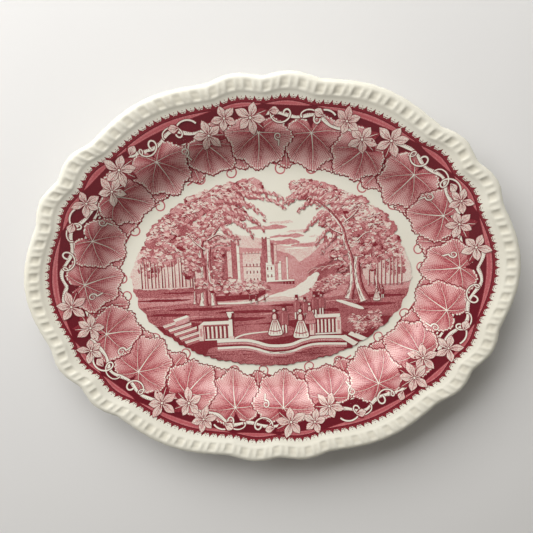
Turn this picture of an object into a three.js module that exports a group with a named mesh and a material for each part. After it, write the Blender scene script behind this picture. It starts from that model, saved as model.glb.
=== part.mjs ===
// Oval serving platter in glazed earthenware, lying flat on its foot ring.
// Millimetres, +Z up, +X along the long axis, origin under the centre of the foot.
// The platter is one pressed and fired body.  Its glaze is a separate thin coat that stops at the
// wiped foot, which leaves one coat over the face and back and another inside the foot ring.
import * as THREE from "three";

// ---------------------------------------------------------------- driving dimensions
const size = {
  length: 400,           // over the scalloped edge, long axis
  width: 319,            // over the scalloped edge, widest lobes of the long sides
  height: 34,            // table to the crest of the gadrooned border
  wellLength: 244,       // flat floor of the well
  wellWidth: 168,
  cavettoReach: 38,      // from the edge of the flat floor out to the shoulder
  rimRise: 5.2,          // shoulder to the inner side of the gadrooned border
  borderWidth: 14.7,     // gadrooned border, inner side to outer edge
  borderRise: 2.6,       // crest of the border above its inner side
  crestInset: 6.0,       // crest of the border, in from the outer edge
  noseDrop: 3.4,         // widest line of the edge, below the crest
  wall: 5.2,             // thickness of rim and cavetto
  floor: 5.4,            // thickness of the floor of the well
  scoopDepth: 0.9,       // broad hollows pressed into the border
  narrowScoop: 0.55,     // narrow hollows, as a share of the broad ones
  scallop: 0.3,          // how far the hollows nick the outline
  footHeight: 3.2,
  footWidth: 5.0,
  footOutset: 3.0,       // outer wall of the foot, outside the edge of the well floor
  footRound: 0.7,        // rounding of the wiped foot
  wipedHeight: 0.9,      // bare clay showing at the bottom of the foot
  glaze: 0.3,            // thickness of the glaze
};

// the lobes of one quadrant: where each ends, in degrees from the long axis, and how far it stands out
const lobes = [
  { end: 15.2, stand: 4.5 },
  { end: 27.6, stand: 4.0 },
  { end: 40.0, stand: 4.1 },
  { end: 74.1, stand: 4.3 },
  { end: 90.0, stand: 3.4 },
];
const lobeRoundness = 1.4;      // above 1 draws the notches between lobes into soft curves
const scoopPairs = 78;          // one broad and one narrow hollow each
const broadShare = 0.6;         // share of a pair taken by the broad hollow

// ---------------------------------------------------------------- outline in plan
const halfLength = size.length / 2 - lobes[0].stand;
const widestLobe = lobes[lobes.length - 1];
const halfWidth = size.width / 2 - widestLobe.stand * 0.7;
const wellHalfLength = size.wellLength / 2;
const wellHalfWidth = size.wellWidth / 2;
const wellInset = halfLength - wellHalfLength;
const lobeFade = size.borderWidth + 26;

function lobeAt(angle) {
  let a = Math.abs(THREE.MathUtils.radToDeg(Math.atan2(Math.sin(angle), Math.cos(angle))));
  if (a > 90) a = 180 - a;
  let start = -lobes[0].end;
  for (const lobe of lobes) {
    if (a <= lobe.end) {
      const share = (a - start) / (lobe.end - start);
      return lobe.stand * Math.pow(Math.max(0, Math.sin(Math.PI * share)), lobeRoundness);
    }
    start = lobe.end;
  }
  return 0;
}

// distance from the centre of the contour that runs `inset` mm in from the edge
function radiusAt(angle, inset) {
  const a = halfLength - inset;
  const b = halfWidth - (inset * (halfWidth - wellHalfWidth)) / wellInset;
  const oval = 1 / Math.hypot(Math.cos(angle) / a, Math.sin(angle) / b);
  const fade = 1 - THREE.MathUtils.smoothstep(inset, size.borderWidth * 0.6, lobeFade);
  return oval + lobeAt(angle) * fade;
}

// angles spaced evenly along the edge, so every scoop is the same width
function evenAngles(count, shift) {
  const steps = 7200;
  const run = [0];
  let x0 = radiusAt(0, 0);
  let y0 = 0;
  for (let i = 1; i <= steps; i++) {
    const t = (i / steps) * Math.PI * 2;
    const r = radiusAt(t, 0);
    const x = r * Math.cos(t);
    const y = r * Math.sin(t);
    run.push(run[i - 1] + Math.hypot(x - x0, y - y0));
    x0 = x;
    y0 = y;
  }
  const total = run[steps];
  const angles = [];
  let j = 0;
  for (let i = 0; i < count; i++) {
    const want = total * shift(i);
    while (run[j + 1] < want) j++;
    const share = (want - run[j]) / (run[j + 1] - run[j]);
    angles.push(((j + share) / steps) * Math.PI * 2);
  }
  return angles;
}

// four angles to a pair of scoops: ridge, broad hollow, ridge, narrow hollow
const around = scoopPairs * 4;
const stations = [0, broadShare / 2, broadShare, (1 + broadShare) / 2];
const angles = evenAngles(around, (i) => (Math.floor(i / 4) + stations[i % 4]) / scoopPairs);
const hollow = [0, 1, 0, size.narrowScoop];

// ---------------------------------------------------------------- section through the rim
const floorTop = size.footHeight + size.floor;
const borderBase = size.height - size.borderRise;
const shoulderInset = wellInset - size.cavettoReach;
const shoulderTop = borderBase - size.rimRise;
const rimSlope = size.rimRise / (shoulderInset - size.borderWidth);

// cubic curve from the flat floor up to the sloping rim; share 0 at the floor, 1 at the shoulder
function cavetto(share) {
  const reach = size.cavettoReach;
  const rise = shoulderTop - floorTop;
  const x = [0, reach * 0.48, reach * 0.62, reach];
  const z = [0, 0, rise - reach * 0.38 * rimSlope, rise];
  const k = [(1 - share) ** 3, 3 * share * (1 - share) ** 2, 3 * share ** 2 * (1 - share), share ** 3];
  const sum = (v) => k.reduce((total, w, i) => total + w * v[i], 0);
  return { inset: wellInset - sum(x), z: floorTop + sum(z) };
}

const coarse = scoopPairs;
const middle = scoopPairs * 2;
const fine = scoopPairs * 4;
const row = (inset, z, count, scoop = 0, nick = 0) => ({ inset, z, count, scoop, nick });

const face = [];
for (const share of [0, 0.26, 0.5, 0.74, 1]) {
  const p = cavetto(share);
  face.push(row(p.inset, p.z, coarse));
}
face.push(row(size.borderWidth, borderBase, middle));
face.push(row(size.borderWidth * 0.78, borderBase + size.borderRise * 0.62, fine, 0.75));
face.push(row(size.crestInset, size.height, fine, 1));
face.push(row(size.crestInset * 0.3, size.height - size.noseDrop * 0.33, fine, 0.5, 0.6));
face.push(row(0, size.height - size.noseDrop, fine, 0, 1));

// the back follows the face one wall thickness below it
const back = [];
back.push(row(size.crestInset * 0.35, size.height - size.noseDrop - size.wall * 0.42, middle));
back.push(row(size.borderWidth, borderBase - size.wall, middle));
for (const share of [1, 0.74, 0.5, 0.26]) {
  const here = cavetto(share);
  const near = cavetto(share - 0.02);
  const run = near.inset - here.inset;
  const rise = here.z - near.z;
  const long = Math.hypot(run, rise);
  back.push(row(here.inset - (size.wall * rise) / long, here.z - (size.wall * run) / long, coarse));
}
const footOuter = wellInset - size.footOutset;
const footInner = footOuter + size.footWidth;
back.push(row(footOuter, size.footHeight, coarse));
back.push(row(footOuter + size.footRound * 0.3, size.wipedHeight, coarse));

const base = [];
base.push(row(footInner - size.footRound * 0.3, size.wipedHeight, coarse));
base.push(row(footInner, size.footHeight, coarse));

const bare = [];
bare.push(row(footOuter + size.footRound + size.glaze, 0, coarse));
bare.push(row(footInner - size.footRound - size.glaze, 0, coarse));

// the same rows moved in by the glaze thickness, square to the section
function sunk(rows, before, after) {
  const all = [before, ...rows, after];
  return rows.map((r, i) => {
    const a = all[i] ?? r;
    const b = all[i + 2] ?? r;
    const dx = a.inset - b.inset;
    const dz = b.z - a.z;
    const long = Math.hypot(dx, dz);
    const lift = size.glaze / long;
    return { ...r, inset: r.inset - dz * lift, z: r.z - dx * lift };
  });
}

const coatRows = [...face, ...back];
const flatFloor = row(wellInset + 20, floorTop, coarse);
const wipeOuter = row(back[back.length - 1].inset, 0, coarse);
const wipeInner = row(base[0].inset, 0, coarse);
const flatBase = row(footInner + 20, size.footHeight, coarse);
const clayUnderCoat = sunk(coatRows, flatFloor, wipeOuter);
const clayUnderBase = sunk(base, wipeInner, flatBase);

// ---------------------------------------------------------------- surfaces
class Skin {
  constructor() {
    this.points = [];
    this.faces = [];
  }

  centre(z) {
    this.points.push(0, 0, z);
    return { count: 1, first: this.points.length / 3 - 1 };
  }

  ring(r) {
    const first = this.points.length / 3;
    const step = around / r.count;
    for (let i = 0; i < r.count; i++) {
      const at = i * step;
      const angle = angles[at];
      const deep = hollow[at % 4];
      const radius = radiusAt(angle, r.inset) - deep * r.nick * size.scallop;
      const z = r.z - deep * r.scoop * size.scoopDepth;
      this.points.push(radius * Math.cos(angle), radius * Math.sin(angle), z);
    }
    return { count: r.count, first };
  }

  // joins two rings whose counts are equal or in the ratio two to one, or a ring and a centre;
  // `mirrored` splits each square the other way, so a lining built backwards matches what it lines
  join(a, b, mirrored) {
    const at = (r, i) => r.first + (((i % r.count) + r.count) % r.count);
    const put = (i, j, k) => this.faces.push(i, j, k);
    if (a.count === 1) {
      for (let i = 0; i < b.count; i++) put(a.first, at(b, i), at(b, i + 1));
    } else if (b.count === 1) {
      for (let i = 0; i < a.count; i++) put(at(a, i), b.first, at(a, i + 1));
    } else if (a.count === b.count) {
      for (let i = 0; i < a.count; i++) {
        if (mirrored) {
          put(at(a, i), at(b, i), at(a, i + 1));
          put(at(a, i + 1), at(b, i), at(b, i + 1));
        } else {
          put(at(a, i), at(b, i), at(b, i + 1));
          put(at(a, i), at(b, i + 1), at(a, i + 1));
        }
      }
    } else if (b.count === 2 * a.count) {
      for (let i = 0; i < a.count; i++) {
        put(at(a, i), at(b, 2 * i), at(b, 2 * i + 1));
        put(at(a, i), at(b, 2 * i + 1), at(a, i + 1));
        put(at(a, i + 1), at(b, 2 * i + 1), at(b, 2 * i + 2));
      }
    } else {
      for (let i = 0; i < b.count; i++) {
        put(at(a, 2 * i), at(b, i), at(a, 2 * i + 1));
        put(at(a, 2 * i + 1), at(b, i), at(b, i + 1));
        put(at(a, 2 * i + 1), at(b, i + 1), at(a, 2 * i + 2));
      }
    }
  }

  chain(parts, mirrored = false) {
    for (let i = 1; i < parts.length; i++) this.join(parts[i - 1], parts[i], mirrored);
  }

  mesh(name, material) {
    const geometry = new THREE.BufferGeometry();
    geometry.setAttribute("position", new THREE.Float32BufferAttribute(this.points, 3));
    geometry.setIndex(this.faces);
    geometry.computeVertexNormals();
    const mesh = new THREE.Mesh(geometry, material);
    mesh.name = name;
    return mesh;
  }
}

const clay = new THREE.MeshStandardMaterial({ name: "bisque_clay", color: 0xe6dcc4, roughness: 0.9 });
const glazed = new THREE.MeshStandardMaterial({ name: "ivory_glaze", color: 0xe4dfcb, roughness: 0.12 });
const baseGlazed = new THREE.MeshStandardMaterial({ name: "base_glaze", color: 0xddd6bf, roughness: 0.2 });

// pressed body: under the coat, round the bare foot, under the base glaze
function earthenwareBody() {
  const s = new Skin();
  const parts = [s.centre(floorTop - size.glaze)];
  for (const r of clayUnderCoat) parts.push(s.ring(r));
  for (const r of bare) parts.push(s.ring(r));
  for (const r of clayUnderBase) parts.push(s.ring(r));
  parts.push(s.centre(size.footHeight + size.glaze));
  s.chain(parts);
  return s.mesh("earthenware_body", clay);
}

// glaze over the face, round the edge and down the back to the wiped foot
function glazeCoat() {
  const s = new Skin();
  const outside = [s.centre(floorTop)];
  for (const r of coatRows) outside.push(s.ring(r));
  const lining = [...clayUnderCoat].reverse().map((r) => s.ring(r));
  lining.push(s.centre(floorTop - size.glaze));
  s.chain([...outside, lining[0]]);
  s.chain(lining, true);
  return s.mesh("glaze_coat", glazed);
}

// glaze pooled inside the foot ring
function baseGlaze() {
  const s = new Skin();
  const lining = [s.centre(size.footHeight + size.glaze)];
  for (const r of [...clayUnderBase].reverse()) lining.push(s.ring(r));
  const outside = base.map((r) => s.ring(r));
  outside.push(s.centre(size.footHeight));
  s.chain(lining, true);
  s.chain([lining[lining.length - 1], ...outside]);
  return s.mesh("base_glaze", baseGlazed);
}

const platter = new THREE.Group();
platter.name = "serving_platter";
platter.add(earthenwareBody(), glazeCoat(), baseGlaze());
export default platter;
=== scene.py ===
"""An oval earthenware serving platter with a gadrooned edge and a crimson transfer print."""
import math
import random

import bmesh
import bpy
import numpy as np
from mathutils import Matrix, Vector


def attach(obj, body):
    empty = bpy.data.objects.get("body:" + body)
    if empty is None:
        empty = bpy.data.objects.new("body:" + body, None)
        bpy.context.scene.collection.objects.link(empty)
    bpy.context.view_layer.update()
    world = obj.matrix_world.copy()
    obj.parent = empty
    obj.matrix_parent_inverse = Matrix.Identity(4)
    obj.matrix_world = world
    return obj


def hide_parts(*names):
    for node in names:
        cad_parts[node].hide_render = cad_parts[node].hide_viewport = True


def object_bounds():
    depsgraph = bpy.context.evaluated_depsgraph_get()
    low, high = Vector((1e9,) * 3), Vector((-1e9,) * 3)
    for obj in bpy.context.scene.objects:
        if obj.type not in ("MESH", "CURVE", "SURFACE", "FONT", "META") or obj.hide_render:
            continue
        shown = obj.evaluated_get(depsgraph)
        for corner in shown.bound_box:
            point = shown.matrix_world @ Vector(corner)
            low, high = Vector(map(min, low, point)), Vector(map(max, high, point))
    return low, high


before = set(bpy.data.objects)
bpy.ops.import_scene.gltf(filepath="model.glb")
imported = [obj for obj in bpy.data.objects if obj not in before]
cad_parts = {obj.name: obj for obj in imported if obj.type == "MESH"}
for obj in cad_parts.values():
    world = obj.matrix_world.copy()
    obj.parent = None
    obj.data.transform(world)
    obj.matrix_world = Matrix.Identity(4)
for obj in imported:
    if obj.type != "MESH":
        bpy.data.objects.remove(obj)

bl_info = {
    "name": "Transfer-printed serving platter",
    "version": (1, 0, 0),
    "blender": (4, 5, 0),
    "location": "View3D > Sidebar > Platter",
    "description": "Models an oval serving platter: clay, glaze, vine border and park view print",
    "category": "Object",
}

MM = 0.001
TURN = 2.0 * math.pi
CAD_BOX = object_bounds()
OVERALL = [high - low for low, high in zip(*CAD_BOX)]


# ---------------------------------------------------------------- sizes and colours

def size_setting(name, description, value):
    """A length property with its default."""
    return bpy.props.FloatProperty(
        name=name, description=description, default=value, subtype="DISTANCE", unit="LENGTH")


def colour_setting(name, description, value):
    """A colour property with its default."""
    return bpy.props.FloatVectorProperty(
        name=name, description=description, subtype="COLOR", size=3, min=0.0, max=1.0, default=value)


class PlatterSizes(bpy.types.PropertyGroup):
    """Sizes of the ware, in metres."""

    length: size_setting("Length", "Over the scalloped edge, long axis", OVERALL[0])
    width: size_setting("Width", "Over the scalloped edge, across the long sides", OVERALL[1])
    height: size_setting("Height", "Table to the crest of the gadrooned border", OVERALL[2])
    well_length: size_setting("Well length", "Flat floor of the well, long axis", 0.244)
    well_width: size_setting("Well width", "Flat floor of the well, short axis", 0.168)
    cavetto_reach: size_setting("Cavetto reach", "From the flat floor out to the shoulder", 0.038)
    rim_rise: size_setting("Rim rise", "Shoulder up to the inner side of the gadrooned border", 0.0052)
    border_width: size_setting("Gadroon width", "Gadrooned border, inner side to outer edge", 0.0147)
    border_rise: size_setting("Gadroon rise", "Crest of the border above its inner side", 0.0026)
    crest_inset: size_setting("Crest inset", "Crest of the border, in from the outer edge", 0.006)
    nose_drop: size_setting("Nose drop", "Widest line of the edge, below the crest", 0.0034)
    wall: size_setting("Wall", "Thickness of rim and cavetto", 0.0052)
    floor: size_setting("Floor", "Thickness of the floor of the well", 0.0054)
    glaze: size_setting("Glaze", "Thickness of the glaze", 0.0003)
    scoop_depth: size_setting("Scoop depth", "Depth of the broad hollows pressed into the border", 0.001)
    foot_height: size_setting("Foot height", "Height of the foot ring", 0.0032)
    foot_width: size_setting("Foot width", "Width of the foot ring", 0.005)
    foot_outset: size_setting("Foot outset", "Outer wall of the foot, outside the edge of the well", 0.003)
    foot_round: size_setting("Foot rounding", "Rounding of the wiped foot", 0.0007)
    wiped_height: size_setting("Wiped height", "Bare clay showing at the bottom of the foot", 0.0009)
    scoop_pairs: bpy.props.IntProperty(
        name="Scoop pairs", description="Pairs of one broad and one narrow hollow", default=78)


class PlatterColours(bpy.types.PropertyGroup):
    """Linear colours of clay, glaze and inks."""

    ivory: colour_setting("Ivory glaze", "Glaze over the clay", (0.77, 0.755, 0.665))
    # deep ivory is a darker glaze tone; in the pressed hollows of the border it is also painted shade
    shadow_ivory: colour_setting("Deep ivory", "Glaze where it pools", (0.67, 0.63, 0.51))
    toasted: colour_setting("Toasted edge", "Clay showing through thin glaze", (0.42, 0.30, 0.17))
    clay: colour_setting("Bare clay", "Unglazed foot", (0.60, 0.50, 0.36))
    ground: colour_setting("Border ground", "Dark ink behind the vine", (0.125, 0.008, 0.016))
    crimson: colour_setting("Crimson ink", "Full-strength ink", (0.190, 0.014, 0.024))
    rose: colour_setting("Rose ink", "Closely hatched ink", (0.43, 0.090, 0.105))
    pink: colour_setting("Pink ink", "Openly hatched ink", (0.62, 0.245, 0.25))
    blush: colour_setting("Blush ink", "Lightest stipple", (0.71, 0.45, 0.43))


def sizes():
    """The size settings of this scene."""
    return bpy.context.scene.platter_sizes


def colours():
    """The colour settings of this scene."""
    return bpy.context.scene.platter_colours


# ---------------------------------------------------------------- the form of the ware

LOBES = ((15.2, 4.5), (27.6, 4.0), (40.0, 4.1), (74.1, 4.3), (90.0, 3.4))  # end in degrees, stand in mm
LOBE_ROUNDNESS = 1.42
BROAD_SHARE = 0.6        # share of a scoop pair taken by the broad hollow
NARROW_DEPTH = 0.45      # depth of the narrow hollow, as a share of the broad one
PAIR_STEPS = (0.0, 0.06, 0.13, 0.28, 0.43, 0.50, 0.56, 0.62, 0.70, 0.76, 0.84, 0.92, 1.0)  # cuts in a pair
EDGE_NICK = 0.0003       # how far the hollows nick the outer edge
LEDGE_SHARE = 0.87       # where the hollows end, as a share of the border width
LOBE_FADE = 0.026       # distance over which the lobes die away inside the border
TURN_STEPS = 3600
HIDDEN_DEPTH = 2.2       # depth of the clay under the coat, in glaze thicknesses
LINING_SHARE = 0.96      # the inner skin of a glaze lies this far down towards the clay


def smooth(value, low, high):
    """Eased step from 0 at low to 1 at high, on a number or an array."""
    t = np.clip((value - low) / (high - low), 0.0, 1.0)
    return t * t * (3.0 - 2.0 * t)


class Form:
    """Contours in plan, section through the rim and gadroons; places any plan point on the face."""

    def __init__(self, s):
        self.s = s
        self.half_length = s.length / 2 - LOBES[0][1] * MM
        self.half_width = s.width / 2 - LOBES[-1][1] * MM * 0.7
        self.well_inset = self.half_length - s.well_length / 2
        self.floor_top = s.foot_height + s.floor
        self.border_base = s.height - s.border_rise
        self.shoulder_inset = self.well_inset - s.cavetto_reach
        self.shoulder_top = self.border_base - s.rim_rise
        self.rim_slope = s.rim_rise / (self.shoulder_inset - s.border_width)
        self.turns = np.linspace(0.0, TURN, TURN_STEPS + 1)
        reach = self.radius(self.turns, 0.0)
        x, y = reach * np.cos(self.turns), reach * np.sin(self.turns)
        run = np.concatenate(([0.0], np.cumsum(np.hypot(np.diff(x), np.diff(y)))))
        self.even = run / run[-1]
        run = np.array([(self.half_length, self.floor_top), *self.face_section()])[::-1]
        self.run_inset, self.run_height = run[:, 0], run[:, 1]

    def lobe(self, angle):
        """How far the edge stands out of the plain oval."""
        a = np.abs(np.degrees(np.arctan2(np.sin(angle), np.cos(angle))))
        a = np.minimum(a, 180.0 - a)
        out = np.zeros_like(a)
        start = -LOBES[0][0]
        for end, stand in LOBES:
            share = np.clip((a - start) / (end - start), 0.0, 1.0)
            out += stand * MM * np.abs(np.sin(math.pi * share)) ** LOBE_ROUNDNESS * (share < 1.0)
            start = end
        return out

    def radius(self, angle, inset):
        """Distance from the centre of the contour that runs inset in from the edge."""
        s = self.s
        outside = np.minimum(inset, self.well_inset)
        narrowing = (self.half_width - s.well_width / 2) / self.well_inset
        a = self.half_length - outside
        b = self.half_width - outside * narrowing
        oval = 1.0 / np.hypot(np.cos(angle) / a, np.sin(angle) / b)
        inside = (self.half_length - np.maximum(inset, self.well_inset)) / (s.well_length / 2)
        fade = 1.0 - smooth(inset, s.border_width * 0.6, s.border_width + LOBE_FADE)
        return (oval + self.lobe(angle) * fade) * inside

    def share(self, angle):
        """Share of the way round the edge, 0 to 1, at an angle."""
        return np.interp(np.mod(angle, TURN), self.turns, self.even)

    def angle(self, share):
        """Angle at a share of the way round the edge."""
        return np.interp(np.mod(share, 1.0), self.even, self.turns)

    def cavetto(self, share):
        """Point on the curve from the flat floor (share 0) up to the sloping rim (share 1)."""
        reach = self.s.cavetto_reach
        rise = self.shoulder_top - self.floor_top
        x = (0.0, reach * 0.48, reach * 0.62, reach)
        z = (0.0, 0.0, rise - reach * 0.38 * self.rim_slope, rise)
        k = ((1 - share) ** 3, 3 * share * (1 - share) ** 2, 3 * share ** 2 * (1 - share), share ** 3)
        return (self.well_inset - sum(a * b for a, b in zip(k, x)),
                self.floor_top + sum(a * b for a, b in zip(k, z)))

    def border_height(self, inset):
        """Height across the gadrooned border before the scoops are pressed in."""
        s = self.s
        if inset >= s.crest_inset:
            t = (inset - s.crest_inset) / (s.border_width - s.crest_inset)
            return self.border_base + s.border_rise * (1.0 - t * t)
        t = 1.0 - inset / s.crest_inset
        return s.height - s.nose_drop * (1.0 - math.sqrt(max(0.0, 1.0 - t * t)))

    def hollow(self, angle):
        """Depth of the pressed hollows at an angle, 0 on a ridge to 1 in a broad hollow."""
        turn = np.mod(self.share(angle) * self.s.scoop_pairs, 1.0)
        broad = smooth(turn, 0.0, 0.17) * (1.0 - smooth(turn, BROAD_SHARE - 0.21, BROAD_SHARE - 0.03))
        slim = BROAD_SHARE + 0.02
        narrow = smooth(turn, slim, slim + 0.15) * (1.0 - smooth(turn, 0.82, 0.99))
        return broad + NARROW_DEPTH * narrow

    def scoop(self, inset):
        """How deep the hollows are pressed at this distance from the edge, 0 to 1."""
        s = self.s
        ledge = s.border_width * LEDGE_SHARE
        start = smooth(inset, s.crest_inset * 0.6, s.crest_inset * 1.15)
        return start * (1.0 - smooth(inset, ledge - 0.0024, ledge))

    def height(self, angle, inset):
        """Height of the glazed face."""
        z = np.interp(inset, self.run_inset, self.run_height)
        return z - self.hollow(angle) * self.scoop(inset) * self.s.scoop_depth

    def inset(self, x, y):
        """Angles and insets of plan points."""
        angle = np.arctan2(y, x)
        r = np.hypot(x, y)
        inset = np.clip(self.half_length - r / np.maximum(1e-6, self.radius(angle, 0.0)) * self.half_length,
                        0.0, self.half_length)
        step = 0.0005
        for _ in range(8):
            here = self.radius(angle, inset)
            lean = (here - self.radius(angle, inset + step)) / step
            inset = np.clip(inset + (here - r) / np.maximum(lean, 0.2), -0.002, self.half_length - step)
        return angle, inset

    def face(self, x, y):
        """Height of the face over plan points."""
        return self.height(*self.inset(x, y))

    def normals(self, x, y):
        """Unit normals of the face over plan points."""
        e = 0.0004
        dx = (self.face(x + e, y) - self.face(x - e, y)) / (2 * e)
        dy = (self.face(x, y + e) - self.face(x, y - e)) / (2 * e)
        out = np.stack((-dx, -dy, np.ones_like(dx)), axis=-1)
        return out / np.linalg.norm(out, axis=-1, keepdims=True)

    def on_rim(self, share, inset):
        """Plan point, in millimetres, at a share of the way round and an inset in millimetres."""
        angle = self.angle(share)
        r = self.radius(angle, inset * MM) / MM
        return Vector((r * math.cos(angle), r * math.sin(angle)))

    # the section as a run of (inset, height) points

    def face_section(self):
        """From the centre of the well out to the widest line of the edge."""
        s = self.s
        run = [(self.half_length * k, self.floor_top) for k in (1.0, 0.85, 0.6)]
        run += [(self.well_inset + 0.008 * k, self.floor_top) for k in (1.0, 0.4)]
        run += [self.cavetto(i / 12) for i in range(13)]
        rim = self.shoulder_inset - s.border_width
        run += [(s.border_width + rim * (1 - i / 5), self.border_base - s.rim_rise * (1 - i / 5))
                for i in range(1, 5)]
        for i in range(11):
            inset = s.border_width + (s.crest_inset - s.border_width) * i / 11
            run.append((inset, self.border_height(inset)))
        for i in range(9):
            t = math.sin(math.pi / 2 * i / 8)
            inset = s.crest_inset * (1.0 - t)
            run.append((inset, self.border_height(inset)))
        return run

    def back_section(self):
        """From under the edge back to the outer wall of the foot."""
        s = self.s
        nose = s.height - s.nose_drop
        drop = s.wall * 0.42
        run = []
        for i in range(1, 6):
            t = math.pi / 2 * i / 5
            run.append((s.crest_inset * 0.55 * (1.0 - math.cos(t)), nose - drop * math.sin(t)))
        under = self.border_base - s.wall
        steps = 5
        x0, z0 = run[-1]
        for i in range(1, steps + 1):
            t = i / steps
            run.append((x0 + (s.border_width + 0.004 - x0) * t, z0 + (under - z0) * t ** 1.15))
        rows = 12
        for i in range(rows + 1):
            share = 1.0 - i / rows * 0.8
            here = self.cavetto(share)
            near = self.cavetto(share - 0.02)
            across = near[0] - here[0]
            rise = here[1] - near[1]
            long = math.hypot(across, rise)
            run.append((here[0] - s.wall * rise / long, here[1] - s.wall * across / long))
        return run

    def foot_section(self):
        """Outer wall of the foot down to the wiped line."""
        s = self.s
        outer = self.well_inset - s.foot_outset
        return [(outer - 0.0012, s.foot_height + 0.0004), (outer - 0.0004, s.foot_height * 0.9),
                (outer, s.foot_height * 0.7), (outer, (s.foot_height + s.wiped_height) / 2),
                (outer + s.foot_round * 0.3, s.wiped_height)]

    def base_section(self):
        """From the wiped line inside the foot to the centre of the base."""
        s = self.s
        inner = self.well_inset - s.foot_outset + s.foot_width
        run = [(inner - s.foot_round * 0.3, s.wiped_height), (inner, s.foot_height * 0.7),
               (inner + 0.0006, s.foot_height * 0.93), (inner + 0.0016, s.foot_height)]
        last = run[-1][0]
        rest = self.half_length - last
        run += [(last + rest * k, s.foot_height) for k in (0.06, 0.2, 0.4, 0.6, 0.8, 1.0)]
        return run


    def clay_section(self, share=1.0):
        """The clay under the coat in fewer points, set deeper wherever the coat hides it."""
        s = self.s
        hidden = self.face_section()[::2] + self.back_section()[::2]
        shown = self.foot_section()[2:]
        depths = [s.glaze * HIDDEN_DEPTH * share] * len(hidden) + [s.glaze * share] * len(shown)
        run = sunk(hidden + shown, depths)
        run[0] = (self.half_length, self.floor_top - s.glaze * HIDDEN_DEPTH)
        return run


# ---------------------------------------------------------------- making meshes

def sunk(section, depths):
    """A section moved into the clay, each point by its depth, square to the section."""
    out = []
    for i, (x, z) in enumerate(section):
        depth = depths[i]
        x0, z0 = section[max(0, i - 1)]
        x1, z1 = section[min(len(section) - 1, i + 1)]
        out_x, out_z = x0 - x1, z1 - z0
        long = math.hypot(out_x, out_z) or 1.0
        out.append((x - depth * out_z / long, z - depth * out_x / long))
    return out


def throw(name, section, form, sectors, steps, nick=0.0):
    """Spins a section round the vertical axis, then draws each ring out to its contour."""
    bm = bmesh.new()
    span = form.half_length
    wire = [bm.verts.new((span - inset, 0.0, z)) for inset, z in section]
    for a, b in zip(wire, wire[1:]):
        bm.edges.new((a, b))
    axis = {"cent": (0, 0, 0), "axis": (0, 0, 1)}
    sector = TURN / sectors
    bmesh.ops.spin(bm, geom=bm.verts[:] + bm.edges[:], angle=sector, steps=steps, **axis)
    bmesh.ops.spin(bm, geom=bm.verts[:] + bm.edges[:] + bm.faces[:], angle=TURN - sector,
                   steps=sectors - 1, use_duplicate=True, **axis)
    bmesh.ops.remove_doubles(bm, verts=bm.verts[:], dist=2e-6)
    bmesh.ops.recalc_face_normals(bm, faces=bm.faces[:])
    piece = mesh_piece(name, bm)
    mesh = piece.data
    co = np.empty(len(mesh.vertices) * 3)
    mesh.vertices.foreach_get("co", co)
    co = co.reshape(-1, 3)
    inset = span - np.hypot(co[:, 0], co[:, 1])
    turned = np.mod(np.arctan2(co[:, 1], co[:, 0]) / TURN, 1.0) * sectors
    pair = np.floor(turned + 1e-6)
    even = np.linspace(0.0, 1.0, len(PAIR_STEPS))
    angle = form.angle((pair + np.interp(turned - pair, even, PAIR_STEPS)) / sectors)
    deep = form.hollow(angle)
    r = form.radius(angle, inset) - nick * deep * (1.0 - smooth(inset, 0.0, 0.003))
    s = form.s
    pressed = smooth(co[:, 2], s.height - s.nose_drop - 0.001, s.height - s.nose_drop)
    pressed *= inset < s.border_width
    z = co[:, 2] - deep * form.scoop(np.maximum(0.0, inset)) * s.scoop_depth * pressed
    mesh.vertices.foreach_set("co", np.stack((r * np.cos(angle), r * np.sin(angle), z), axis=-1).ravel())
    from_edge = mesh.attributes.new("from_edge", "FLOAT", "POINT")
    from_edge.data.foreach_set("value", inset)
    # pooled glaze and painted shade: how deep the hollows are pressed, for the glaze finish to darken
    pooled_and_shade = mesh.attributes.new("pooled_and_shade", "FLOAT", "POINT")
    pooled_and_shade.data.foreach_set("value", deep * form.scoop(np.maximum(0.0, inset)) * pressed)
    mesh.update()
    return piece


def mesh_piece(name, bm):
    """Turns a bmesh into an object of the scene."""
    mesh = bpy.data.meshes.new(name)
    bm.to_mesh(mesh)
    bm.free()
    for face in mesh.polygons:
        face.use_smooth = True
    piece = bpy.data.objects.new(name, mesh)
    bpy.context.scene.collection.objects.link(piece)
    return piece


def hand_over(piece, material, slot, *replaced):
    """Gives a finished piece its material and body, and hides the nodes it stands for; the slot is not used.
    """
    piece.data.materials.clear()
    piece.data.materials.append(material)
    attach(piece, "root")
    if replaced:
        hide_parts(*replaced)


# ---------------------------------------------------------------- shader sums

class Signal:
    """A socket that ordinary sums can be written with."""

    def __init__(self, sheet, socket):
        self.sheet = sheet
        self.socket = socket

    def sum(self, operation, *others, before=None):
        """A maths node on this socket and others, or on a number that comes before it."""
        node = self.sheet.tree.nodes.new("ShaderNodeMath")
        node.operation = operation
        items = (self, *others) if before is None else (before, self)
        for i, item in enumerate(items):
            self.sheet.plug(item, node.inputs[i])
        return Signal(self.sheet, node.outputs[0])

    def __add__(self, other):
        return self.sum("ADD", other)

    def __radd__(self, other):
        return self.sum("ADD", other)

    def __sub__(self, other):
        return self.sum("SUBTRACT", other)

    def __rsub__(self, other):
        return self.sum("SUBTRACT", before=other)

    def __mul__(self, other):
        return self.sum("MULTIPLY", other)

    def __rmul__(self, other):
        return self.sum("MULTIPLY", other)

    def __truediv__(self, other):
        return self.sum("DIVIDE", other)

    def __pow__(self, other):
        return self.sum("POWER", other)

    def size(self):
        return self.sum("ABSOLUTE")

    def over(self, level):
        return self.sum("GREATER_THAN", level)

    def clip(self):
        node = self.sum("ADD", 0.0)
        node.socket.node.use_clamp = True
        return node


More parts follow.
